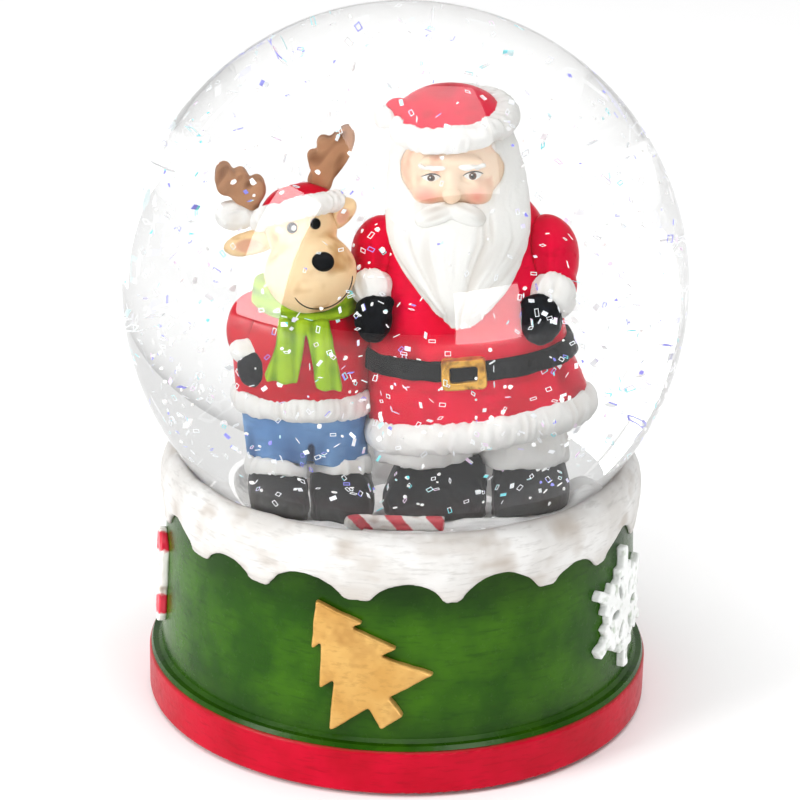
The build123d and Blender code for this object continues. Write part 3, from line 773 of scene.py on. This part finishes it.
def make_reliefs():
    """The painted ornaments on the drum."""
    gold = paint(
        "relief_gold_paint", tint(206, 162, 92), tint(194, 146, 76), 0.38,
        hollow_shade=tint(176, 130, 68), streak=(2, 1, 5),
    )
    gold.node_tree.nodes["Principled BSDF"].inputs["Metallic"].default_value = 0.5
    white = paint(
        "relief_white_paint", tint(240, 241, 240), tint(224, 226, 224), 0.42,
        coat=0.2, hollow_shade=tint(128, 148, 116),
    )
    sculpt("tree_relief", gold, 0.2, 2, 0.1, leather(0.12, 2.4, 41))
    for side in ("right", "back"):
        sculpt("snowflake_relief_" + side, white, 0.2, 1, 0.12, leather(0.1, 1.2, 42))
    for side in ("left", "back"):
        candy = paint(
            "relief_candy_" + side, tint(242, 240, 236), tint(230, 226, 220), 0.4,
            coat=0.2, hollow_shade=tint(150, 130, 112),
        )
        stripes(candy, (0, 0.35, 1), 11.5, 0.3, tint(206, 24, 56), -0.35)
        sculpt("cane_relief_" + side, candy, 0.2, 2, 0.12, leather(0.1, 1.4, 43))


# ------------------------------------------------------------------ ground
def make_ground():
    """Snow ground with banks against the boots, and the cane that lies on it."""
    edge = low_high("snow_mound")[1][0] - 1.2
    right_boot = middle("santa_boot_right")
    right_edge = low_high("santa_boot_right")[1][0]

    def drifts(clay):
        ground = low_high("santa_boot_left")[0][2]
        clay.add(blob(clay.grid, (right_edge + 2.6, right_boot[1], ground + 0.3), (2.3, 2.6, 3.4)), 1.2)
        banks = (("santa_boot_left", 1.4), ("reindeer_boot_left", 1.2), ("reindeer_boot_right", 1.2))
        for node, reach in banks:
            foot_low, foot_high = low_high(node)
            x, y = (foot_low[0] + foot_high[0]) / 2, foot_high[1]
            clay.add(blob(clay.grid, (x, y, foot_low[2]), (4.5, 2.2, reach * 1.2)), 1.0)

    def snow(points, normals):
        inside = np.clip((edge - np.hypot(points[:, 0], points[:, 1])) / 2, 0, 1)
        raised = np.clip((points[:, 2] - 44.5) / 1.5, 0, 1)
        return inside * raised * (0.35 * noise(points, 3.2, 51) + 0.16 * noise(points, 1.0, 52))

    sculpt("snow_mound", SNOW, 0.36, 2, 0.0, snow, drifts)
    candy = paint(
        "ground_candy_paint", tint(244, 242, 240), tint(234, 230, 226), 0.4,
        coat=0.2, hollow_shade=tint(190, 170, 160),
    )
    stripes(candy, (1, 0.1, 0.75), 4.8, 0.4, tint(214, 24, 56), 0.35)
    sculpt("ground_cane", candy, 0.2, 1, 0.05, leather(0.08, 1.2, 53))


# ------------------------------------------------------------------ Santa
def make_santa_clothes():
    """Coat, trims, belt, boot tops, sleeves and mittens."""
    coat_low, coat_high = low_high("santa_coat")
    spine = (coat_low + coat_high) / 2
    belt = middle("santa_belt")[2]
    sculpt("santa_coat", COAT, 0.3, 2, 0.08, cloth(spine, (belt, coat_low[2] + 6), 4.0, 0.3, 2.6, 61))
    locks = fur(middle("santa_hem_trim"), size=0.9, depth=0.3, seed=62)
    sculpt("santa_hem_trim", FUR, 0.26, 1, 0.12, locks)
    sculpt("santa_belt", BELT, 0.24, 1, 0.1, leather(0.14, 1.5, 63))
    sculpt("santa_buckle", GOLD, 0.16, 1, 0.05, leather(0.08, 0.9, 64))
    sculpt("santa_boot_tops", FUR, 0.26, 1, 0.1, fur(spine, size=1.0, depth=0.28, seed=65))
    for side, lean in (("left", -0.2), ("right", 0.25)):
        cuff, hand = middle("santa_cuff_" + side), middle("santa_mitten_" + side)
        sculpt("santa_sleeve_" + side, COAT, 0.26, 2, 0.08, cloth(cuff, (cuff[2] + 4,), 3.0, 0.35, 2.2, 66))
        sculpt("santa_cuff_" + side, FUR, 0.22, 1, 0.12, fur(cuff, (lean, 0.6, 1), 0.8, 0.3, 67))
        thumb = np.array([-1.3 if side == "right" else 1.3, -0.6, 1.6])

        def add_thumb(clay):
            clay.add(rod(clay.grid, hand + thumb * 0.6, hand + thumb * 1.5, 1.15, 0.85), 0.5)

        sculpt("santa_mitten_" + side, BLACK, 0.2, 1, 0.08, leather(0.16, 1.1, 68), add_thumb)


def make_boot(node, seed):
    """Boot with a groove between its upper and its sole."""
    ground = low_high(node)[0][2]

    def upper(clay):
        welt = np.abs(clay.grid[2] - (ground + 1.1)) - 0.16
        clay.field = np.maximum(clay.field, -np.maximum(welt, -(clay.field + 0.32)))

    sculpt(node, BLACK, 0.24, 1, 0.08, leather(0.18, 1.8, seed), upper)


def make_santa_head():
    """Face, beard, moustache and hat; returns what the painted features need."""
    face_low, face_high = low_high("santa_face")
    head = (face_low + face_high) / 2
    width = face_high[0] - face_low[0]
    eye_high = head[2] + 0.2
    eye_apart = width / 5
    front = face_low[1]

    def features(clay):
        for side in (-1, 1):
            x = head[0] + side * eye_apart
            clay.cut(blob(clay.grid, (x, front + 0.1, eye_high), (1.9, 1.1, 1.2)))
            clay.add(blob(clay.grid, (x, front + 1.4, eye_high), (1.35, 1.0, 0.85)), 0.3)
            cheek = (head[0] + side * eye_apart * 1.15, front + 1.9, eye_high - 3.0)
            clay.add(blob(clay.grid, cheek, (2.2, 1.7, 1.6)), 1.0)
        clay.add(blob(clay.grid, (head[0], front + 0.9, eye_high + 2.2), (4.6, 1.2, 1.0)), 0.9)
        bridge_top = (head[0], front + 0.7, eye_high + 1.2)
        bridge_foot = (head[0], front - 0.3, eye_high - 2.0)
        clay.add(rod(clay.grid, bridge_top, bridge_foot, 0.7, 1.0), 0.7)

    skin_mat = SKIN.copy()
    skin_mat.name = "face_paint"
    blush = tint(240, 158, 140)
    cheeks = [
        ((head[0] + side * eye_apart * 1.2, front + 0.6, eye_high - 2.9), (2.1, 3.0, 1.7), blush, 0.9)
        for side in (-1, 1)
    ]
    spots(skin_mat, cheeks)
    face = sculpt("santa_face", skin_mat, 0.2, 2, 0.05, leather(0.05, 2.0, 71), features)
    sculpt("santa_nose", skin_mat, 0.14, 1, 0.12, leather(0.03, 1.2, 72))

    tip = low_high("santa_beard")[0][2]
    chin = middle("santa_beard")

    def strands(points, normals):
        spread = np.clip((points[:, 2] - tip) / (chin[2] - tip), 0.16, 1.0)
        flow = np.stack([(points[:, 0] - chin[0]) / spread, points[:, 1] / 3, points[:, 2] / 6], axis=1)
        sway = 0.9 * noise(points, 7.0, 73)
        flow[:, 0] += sway
        broad = noise(flow, (2.2, 2.2, 2.0), 74)
        fine = noise(flow, (0.8, 1.2, 1.6), 75)
        return 0.2 * broad + 0.11 * (0.5 - 2 * np.abs(fine))

    sculpt("santa_beard", BEARD, 0.28, 2, 0.1, strands)

    def whiskers(points, normals):
        droop = points[:, 2] + 0.35 * np.abs(points[:, 0] - head[0])
        flow = np.stack([points[:, 0] / 4, points[:, 1] / 3, droop], axis=1)
        return 0.16 * (0.5 - 2 * np.abs(noise(flow, (1.0, 1.0, 0.7), 76)))

    sculpt("santa_moustache", BEARD, 0.18, 1, 0.12, whiskers)
    folds = cloth(middle("santa_hat"), (low_high("santa_hat")[0][2],), 3.0, 0.3, 2.4, 77)
    sculpt("santa_hat", COAT, 0.28, 2, 0.08, folds)
    locks = fur(middle("santa_hat_trim"), (0.15, 0, 1), 0.85, 0.34, 78)
    sculpt("santa_hat_trim", FUR, 0.24, 1, 0.12, locks)
    sculpt("santa_pompom", FUR, 0.2, 1, 0.15, fur(middle("santa_pompom"), (0, 0, 1), 0.6, 0.3, 79))
    return face, head, eye_apart, eye_high


# ------------------------------------------------------------------ reindeer
CREASE_TOP = 60.5  # height in mm where the crease of the trousers fades out


def make_reindeer_clothes():
    """Sweater, trims, trousers, boot tops, mitten and scarf."""
    sweater = middle("reindeer_sweater")
    hem = low_high("reindeer_sweater")[0][2]
    sculpt("reindeer_sweater", SWEATER, 0.26, 2, 0.08, cloth(sweater, (hem + 1,), 4.0, 0.5, 2.4, 81))
    folds = cloth(middle("reindeer_sleeve"), (hem + 7,), 3.0, 0.3, 2, 82)
    sculpt("reindeer_sleeve", SWEATER, 0.24, 2, 0.08, folds)
    sculpt("reindeer_cuff", FUR, 0.2, 1, 0.12, fur(middle("reindeer_cuff"), (0, 0.6, 1), 0.7, 0.26, 83))
    sculpt("reindeer_mitten", BLACK, 0.18, 1, 0.06, leather(0.14, 1.0, 84))
    locks = fur(middle("reindeer_hem_trim"), size=0.85, depth=0.28, seed=85)
    sculpt("reindeer_hem_trim", FUR, 0.24, 1, 0.1, locks)
    legs_low, legs_high = low_high("reindeer_trousers")
    crease_x = (legs_low[0] + legs_high[0]) / 2

    def crease(clay):
        foot = (crease_x, legs_low[1] - 0.3, legs_low[2] - 1)
        top = (crease_x, legs_low[1] - 0.5, CREASE_TOP)
        clay.cut(rod(clay.grid, foot, top, 0.9, 0.4))

    folds = cloth(middle("reindeer_trousers"), (legs_low[2],), 4, 0.4, 2, 86)
    sculpt("reindeer_trousers", DENIM, 0.26, 2, 0.06, folds, crease)
    locks = fur(middle("reindeer_boot_tops"), size=0.9, depth=0.26, seed=87)
    sculpt("reindeer_boot_tops", FUR, 0.24, 1, 0.1, locks)
    wrap = middle("reindeer_scarf")

    def wraps(points, normals):
        around = unwrap(points, wrap)
        return 0.3 * np.sin(around[:, 1] * 2.6 + 0.35 * around[:, 0]) * 0.6 + 0.12 * noise(points, 1.6, 88)

    def tails(points, normals):
        across = points[:, 0] * 2.3 + 0.12 * points[:, 2]
        return 0.18 * np.sin(across) + 0.1 * noise(points, 1.4, 89)

    sculpt("reindeer_scarf", SCARF, 0.22, 2, 0.08, wraps)
    sculpt("reindeer_scarf_tails", SCARF, 0.2, 2, 0.1, tails)


CAP_TILT = (-25, -15, 0)  # degrees: the cap sits back on the head and leans to one side


def make_reindeer_head():
    """Head, ears, antlers and cap; returns the head and the nose's middle."""
    nose = middle("reindeer_nose")
    head = sculpt("reindeer_head", FAWN, 0.24, 4, 0.12, leather(0.07, 2.4, 91))
    for part, paint_mat in (("reindeer_nose", BELT), ("reindeer_eyes", BELT)):
        sculpt(part, paint_mat, 0.12, 1, 0.24, leather(0.02, 1.0, 92))
    for side in ("left", "right"):
        ear = middle("reindeer_ear_" + side)
        size = half("reindeer_ear_" + side)
        reach = np.array([size[0] * 0.62, 0.9, size[2] * 0.6])

        def hollow_out(clay):
            clay.cut(blob(clay.grid, (ear[0], ear[1] - size[1], ear[2]), reach))

        ear_mat = FAWN.copy()
        ear_mat.name = "ear_paint_" + side
        spots(ear_mat, [((ear[0], ear[1] - size[1], ear[2]), reach * 1.15, tint(238, 178, 160), 0.35)])
        sculpt("reindeer_ear_" + side, ear_mat, 0.18, 2, 0.1, leather(0.05, 1.4, 93), hollow_out)

        def bark(points, normals):
            slant = points[:, 0] * 0.8 - 0.5 * points[:, 2]
            flow = np.stack([slant, points[:, 1], points[:, 2] * 0.3], axis=1)
            return 0.16 * noise(flow, 1.0, 94) + 0.12 * noise(points, 1.9, 95)

        sculpt("reindeer_antler_" + side, ANTLER, 0.2, 3, 0.16, bark)
    cap, rim = middle("reindeer_cap"), middle("reindeer_cap_trim")

    def crown_only(clay):
        clay.cut(below(clay.grid, rim, CAP_TILT))

    def roll(clay):
        clay.add(band(clay.grid, rim, half("reindeer_cap_trim")[0] - 1.0, 1.45, CAP_TILT), 0.4)

    sculpt("reindeer_cap", SWEATER, 0.24, 2, 0.08, cloth(cap, (cap[2] - 1,), 3, 0.25, 2, 96), crown_only)
    sculpt("reindeer_cap_trim", FUR, 0.22, 1, 0.08, fur(rim, (-0.25, 0.42, 0.87), 0.75, 0.3, 97), roll)
    locks = fur(middle("reindeer_cap_pompom"), (1, 0, 0.3), 0.7, 0.3, 98)
    sculpt("reindeer_cap_pompom", FUR, 0.2, 1, 0.15, locks)
    return head, nose


# ------------------------------------------------------------------ paint laid on a cast piece
def front_hits(host):
    """Function that finds where a line from the front meets a piece: (point, normal) in mm."""
    tree = BVHTree.FromObject(host, bpy.context.evaluated_depsgraph_get())

    def hit(x, z):
        point, normal, *_ = tree.ray_cast(Vector((x * MM, -0.1, z * MM)), Vector((0, 1, 0)))
        return np.array(point) / MM, np.array(normal)

    return hit


def solid(name, points, faces):
    """Smooth object from points in mm and faces, with its normals outwards."""
    mesh = bpy.data.meshes.new(name)
    mesh.from_pydata([tuple(point) for point in np.array(points) * MM], [], faces)
    bm = bmesh.new()
    bm.from_mesh(mesh)
    bmesh.ops.recalc_face_normals(bm, faces=bm.faces)
    bm.to_mesh(mesh)
    bm.free()
    obj = bpy.data.objects.new(name, mesh)
    bpy.context.scene.collection.objects.link(obj)
    return obj


def decal(name, hit, outline, lift=0.06, sink=0.25, rings=4):
    """Thin closed patch of paint whose (x, z) outline is laid on a piece from the front."""
    outline = np.array(list(outline))
    centre = outline.mean(axis=0)
    count = len(outline)
    flat = [centre]
    for ring in range(1, rings + 1):
        flat += [centre + (corner - centre) * ring / rings for corner in outline]
    tops, lows = [], []
    for x, z in flat:
        point, normal = hit(x, z)
        tops.append(point + normal * lift)
        lows.append(point - normal * sink)
    faces = []
    for base, flip in ((0, False), (len(flat), True)):
        for k in range(count):
            n = (k + 1) % count
            fan = [base, base + 1 + k, base + 1 + n]
            faces.append(fan[::-1] if flip else fan)
            for ring in range(rings - 1):
                a, b = base + 1 + ring * count, base + 1 + (ring + 1) * count
                quad = [a + k, b + k, b + n, a + n]
                faces.append(quad[::-1] if flip else quad)
    edge, low_edge = 1 + (rings - 1) * count, len(flat) + 1 + (rings - 1) * count
    for k in range(count):
        n = (k + 1) % count
        faces.append([edge + k, low_edge + k, low_edge + n, edge + n])
    return solid(name, tops + lows, faces)


def stroke(name, hit, line, widths, lift=0.08, sink=0.2):
    """Thin closed brush line laid on a piece from the front along (x, z) points."""
    line = np.array(line)
    along = np.gradient(line, axis=0)
    along /= np.linalg.norm(along, axis=1)[:, None]
    across = np.stack([-along[:, 1], along[:, 0]], axis=1)
    points = []
    for spot, side, width in zip(line, across, widths):
        centre, normal = hit(*spot)
        points += [hit(*(spot + side * width / 2))[0], centre + normal * lift]
        points += [hit(*(spot - side * width / 2))[0], centre - normal * sink]
    faces = [[0, 1, 2, 3], [len(points) - 4 + k for k in (3, 2, 1, 0)]]
    for step in range(len(line) - 1):
        for k in range(4):
            a, b = step * 4 + k, step * 4 + (k + 1) % 4
            faces.append([a, b, b + 4, a + 4])
    return solid(name, points, faces)


def oval(centre, wide, high, lean=0.0, point=1.0, count=28):
    """Points of an oval; a point value over 1 pinches its two side ends."""
    turn = radians(lean)
    for step in range(count):
        angle = 2 * pi * step / count
        x = wide * cos(angle)
        z = high * sin(angle) * abs(sin(angle)) ** (point - 1)
        yield centre[0] + x * cos(turn) - z * sin(turn), centre[1] + x * sin(turn) + z * cos(turn)


def plain_paint(name, light, dark, roughness=0.3):
    """Fine even paint for features laid on a piece."""
    return paint(name, light, dark, roughness, grain=2400, bump=0.00002, wet=True)


EYE_WHITE = plain_paint("eye_white", tint(250, 248, 244), tint(240, 236, 230))
IRIS = plain_paint("eye_brown", tint(98, 62, 36), tint(70, 42, 24))
INK = plain_paint("ink_line", tint(30, 24, 22), tint(20, 16, 15))
LIP = plain_paint("lip_paint", tint(214, 120, 104), tint(200, 104, 92), 0.45)
FACE_LEAN = 5.0  # the head leans this many degrees, as its hat band does


def make_santa_features(face, head, apart, high):
    """Eyes a fifth of the face's width from its middle and near half its height, with brows and a mouth."""
    hit = front_hits(face)
    wide = apart * 0.42
    for side, name in ((-1, "left"), (1, "right")):
        rise = side * apart * sin(radians(FACE_LEAN))
        eye = np.array([head[0] + side * apart, high + rise])
        almond = oval(eye, wide, wide * 0.44, FACE_LEAN, 1.3)
        trim(decal("eye_white_" + name, hit, almond, 0.04), EYE_WHITE, "santa_face")
        iris = eye + np.array([0.0, 0.02])
        disc, pupil = oval(iris, wide * 0.42, wide * 0.42), oval(iris, wide * 0.21, wide * 0.21)
        trim(decal("eye_iris_" + name, hit, disc, 0.075), IRIS, "santa_face")
        trim(decal("eye_pupil_" + name, hit, pupil, 0.1), INK, "santa_face")
        glint = iris + np.array([-0.12, 0.16])
        trim(decal("eye_glint_" + name, hit, oval(glint, 0.1, 0.1), 0.125), EYE_WHITE, "santa_face")
        lid = []
        for share in np.linspace(-1, 1, 13):
            rise = wide * 0.5 * (1 - share**2) + share * sin(radians(FACE_LEAN))
            lid.append(eye + np.array([share * wide * 1.12, rise]))
        widths = 0.1 + 0.16 * np.sin(np.linspace(0, pi, 13))
        trim(stroke("eye_lid_" + name, hit, lid, widths), INK, "santa_face")
    brows = Clay(["santa_face"], 0.18)
    for side in (-1, 1):
        for step in range(3):
            x = head[0] + side * apart * (0.62 + 0.36 * step)
            z = high + 1.75 + 0.12 * step * (1 - step) + (x - head[0]) * sin(radians(FACE_LEAN))
            point, normal = hit(x, z)
            turn = (0, -side * 12 * (step - 0.6), 0)
            brows.add(blob(brows.grid, point + normal * 0.05, (0.95, 0.5, 0.42), turn), 0.3)
    hairs = fur(head, (1, 0, 0), 0.45, 0.16, 121)
    trim(brows.mesh("santa_brows", 0.0, hairs), BEARD, "santa_beard")
    mouth = Clay(["santa_moustache"], 0.15)
    low = low_high("santa_moustache")[0]
    mouth.add(blob(mouth.grid, (head[0], low[1] + 1.5, low[2] + 0.15), (1.25, 0.8, 0.5)))
    trim(mouth.mesh("santa_mouth", 0.0, leather(0.03, 0.8, 122)), LIP, "santa_face")


def make_smile(host, nose):
    """The thin smile below the reindeer's nose, part of a circle that leans to one side."""
    radius, lean = 4.4, 17.0
    hit = front_hits(host)
    centre = np.array([nose[0] - 0.1, nose[2] - 2.9])
    arc_line = []
    for angle in np.linspace(radians(196 + lean), radians(344 + lean), 30):
        arc_line.append(centre + radius * np.array([cos(angle), sin(angle)]))
    widths = 0.12 + 0.22 * np.sin(np.linspace(0.1, pi - 0.1, 30))
    trim(stroke("reindeer_smile", hit, arc_line, widths), INK, "reindeer_head")


# ------------------------------------------------------------------ liquid and its flakes
def make_liquid():
    """Water that fills the ball; it touches the wetted wall, so its own surface bends nothing."""
    low, high = low_high("liquid_fill")
    radius = (high[0] - low[0]) / 2
    start = -np.degrees(np.arcsin((BALL[2] - low[2]) / radius))
    profile = [(0.0, low[2]), *arc(radius, start, 90, 90, BALL[2])]
    water = lathe("liquid_ball", profile, 128 if FINE else 64)
    place(water, clear_glass("water", 1.0), "liquid_fill")


# Painted glow: how strongly the flakes emit light, though they are no lamp.
FLAKE_GLOW = 0.42  # light that a film flake gathers from all round


def film(name, pale, share):
    """Glitter film: each spot takes its own colour from a cold rainbow and glows in it, a painted glow;
    share is how much is coloured.
    """
    mat, nodes, links, shader = new_material(name)
    coords = nodes.new("ShaderNodeTexCoord")
    cells = nodes.new("ShaderNodeTexVoronoi")
    cells.inputs["Scale"].default_value = 420.0
    links.new(coords.outputs["Object"], cells.inputs["Vector"])
    pick = nodes.new("ShaderNodeSeparateColor")
    links.new(cells.outputs["Color"], pick.inputs["Color"])
    ramp = nodes.new("ShaderNodeValToRGB")
    ramp.color_ramp.interpolation = "CONSTANT"
    hues = [
        pale, tint(200, 236, 240), tint(238, 214, 240), pale,
        tint(120, 222, 230), tint(222, 218, 248), tint(140, 140, 238),
    ]
    stops = ramp.color_ramp.elements
    stops[0].position, stops[0].color = 0.0, (*hues[0], 1)
    stops[1].position, stops[1].color = 1.0 - share, (*hues[1], 1)
    for k, hue in enumerate(hues[2:]):
        stop = stops.new(1.0 - share + share * (k + 1) / len(hues))
        stop.color = (*hue, 1)
    links.new(pick.outputs[0], ramp.inputs["Fac"])
    links.new(ramp.outputs["Color"], shader.inputs["Base Color"])
    # Painted glow: the film emits its own colour, standing in for light it would gather from all round.
    links.new(ramp.outputs["Color"], shader.inputs["Emission Color"])
    shader.inputs["Emission Strength"].default_value = FLAKE_GLOW
    fine = noise_node(nodes, links, 3000.0, 2.0)
    links.new(ramp_node(nodes, links, fine.outputs["Fac"], 0.3, 0.7, 0.14, 0.3), shader.inputs["Roughness"])
    return mat


class Flakes:
    """Many thin closed flakes gathered into one mesh."""

    def __init__(self, seed):
        self.random = np.random.default_rng(seed)
        self.points, self.faces = [], []

    def lay(self, centre, normal, outline, hole=None, thick=0.07):
        """Lay one flake at a point; hole is a smaller outline with as many corners."""
        normal = normal / np.linalg.norm(normal)
        spin = self.random.normal(size=3)
        first = np.cross(normal, spin)
        first /= np.linalg.norm(first)
        second = np.cross(normal, first)
        base, count = len(self.points), len(outline)
        for ring in [outline] + ([hole] if hole is not None else []):
            for side in (-0.5, 0.5):
                for u, v in ring:
                    self.points.append(centre + first * u + second * v + normal * side * thick)
        if hole is None:
            self.faces.append([base + k for k in range(count)][::-1])
            self.faces.append([base + count + k for k in range(count)])
        for k in range(count):
            n = (k + 1) % count
            self.faces.append([base + k, base + n, base + count + n, base + count + k])
            if hole is not None:
                top, inner, inner_top = base + count, base + 2 * count, base + 3 * count
                self.faces.append([inner + n, inner + k, inner_top + k, inner_top + n])
                self.faces.append([base + n, base + k, inner + k, inner + n])
                self.faces.append([top + k, top + n, inner_top + n, inner_top + k])

    def rectangle(self, centre, normal):
        """Lay a rectangular flake, most of them open frames."""
        long, wide = self.random.uniform(0.8, 1.15), self.random.uniform(0.5, 0.7)
        outer = [(long / 2 * i, wide / 2 * j) for i, j in ((-1, -1), (1, -1), (1, 1), (-1, 1))]
        if self.random.random() < 0.7:
            rim = 0.09
            hole = [(u - rim * np.sign(u), v - rim * np.sign(v)) for u, v in outer]
            self.lay(centre, normal, outer, hole)
        else:
            self.lay(centre, normal, outer)

    def chip(self, centre, normal):
        """Lay a thicker flake with an uneven six-cornered outline."""
        count = 6
        sector = 2 * pi / count
        reach = self.random.uniform(0.22, 0.5)
        turns = np.sort(self.random.uniform(0, sector * 0.8, count)) + np.arange(count) * sector * 0.87
        reaches = reach * self.random.uniform(0.6, 1.15, count)
        self.lay(centre, normal, [(r * cos(t), r * sin(t)) for r, t in zip(reaches, turns)], None, 0.16)

    def piece(self, name):
        """One object of all the flakes laid so far."""
        return solid(name, self.points, self.faces)


def drifting(random, count, inner, low, high):
    """Random places in the water outside a radius, more of them low down."""
    reach = BALL_R - WALL - 3.5
    places = []
    while len(places) < count:
        x, y = random.uniform(-reach, reach, 2)
        z = low + (high - low) * random.random() ** 1.35
        clear = np.hypot(x, y) > inner or z > inner + BALL[2]
        if clear and np.linalg.norm(np.array([x, y, z]) - BALL) < reach:
            places.append(np.array([x, y, z]))
    return places


GLITTER_COUNT = 900
CHIP_COUNT = 330


def make_flakes():
    """Glitter and chips that turn with the water, clear of the figures."""
    ring = np.hypot(*low_high("snow_mound")[1][:2]) / sqrt(2) + 1.0
    low, high = low_high("glitter_flakes")[0][2], low_high("glitter_flakes")[1][2]
    glitter, chips = Flakes(201), Flakes(202)
    for spot in drifting(glitter.random, GLITTER_COUNT, ring, low, high + 14):
        glitter.rectangle(spot, glitter.random.normal(size=3))
    for spot in drifting(chips.random, CHIP_COUNT, ring, low, high + 8):
        chips.chip(spot, chips.random.normal(size=3))
    place(glitter.piece("glitter_cloud"), film("glitter_film", tint(240, 244, 248), 0.32), "glitter_flakes")
    place(chips.piece("chip_cloud"), film("chip_film", tint(250, 250, 250), 0.16), "snow_flakes")


SETTLED_GLITTER_SHARE = 0.55  # the rest of the settled flakes are chips


def make_settled(hosts):
    """Flakes that have come to rest on the figures and on the ground."""
    glitter, chips = Flakes(211), Flakes(212)
    for host, count in hosts:
        mesh = host.data
        spots = np.empty(len(mesh.vertices) * 3)
        mesh.vertices.foreach_get("co", spots)
        normals = np.empty(len(mesh.vertices) * 3)
        mesh.vertices.foreach_get("normal", normals)
        spots, normals = spots.reshape(-1, 3) / MM, normals.reshape(-1, 3)
        open_to = np.flatnonzero((normals[:, 2] > -0.15) & (np.abs(normals[:, 1]) + normals[:, 2] > 0.3))
        for index in glitter.random.choice(open_to, count, replace=False):
            tilt = normals[index] + glitter.random.normal(size=3) * 0.12
            lay = glitter.rectangle if glitter.random.random() < SETTLED_GLITTER_SHARE else chips.chip
            lay(spots[index] + normals[index] * 0.12, tilt)
    trim(glitter.piece("settled_glitter"), film("settled_film", tint(236, 240, 244), 0.6), "snow_mound")
    trim(chips.piece("settled_chips"), film("settled_white", tint(250, 250, 250), 0.1), "snow_mound")


make_globe()
make_base()
make_collar()
make_reliefs()
make_ground()
make_santa_clothes()
face, head_middle, eye_apart, eye_high = make_santa_head()
BOOTS = ("santa_boot_left", "santa_boot_right", "reindeer_boot_left", "reindeer_boot_right")
for seed, boot in enumerate(BOOTS, 110):
    make_boot(boot, seed)
make_reindeer_clothes()
deer_head, deer_nose = make_reindeer_head()
make_santa_features(face, head_middle, eye_apart, eye_high)
make_smile(deer_head, deer_nose)
make_liquid()
make_flakes()
# how many flakes have settled on each piece
SETTLED = {
    "santa_coat": 60, "santa_boot_left": 16, "santa_boot_right": 16,
    "santa_mitten_left": 8, "santa_mitten_right": 6, "santa_sleeve_left": 14,
    "santa_hem_trim": 16, "santa_belt": 14,
    "reindeer_cap": 14, "reindeer_sweater": 40, "reindeer_trousers": 14,
    "reindeer_boot_left": 14, "reindeer_boot_right": 14, "reindeer_scarf_tails": 10,
    "reindeer_antler_left": 8, "reindeer_antler_right": 10, "snow_mound": 60,
}
make_settled([(bpy.data.objects[node + "_cast"], count) for node, count in SETTLED.items()])
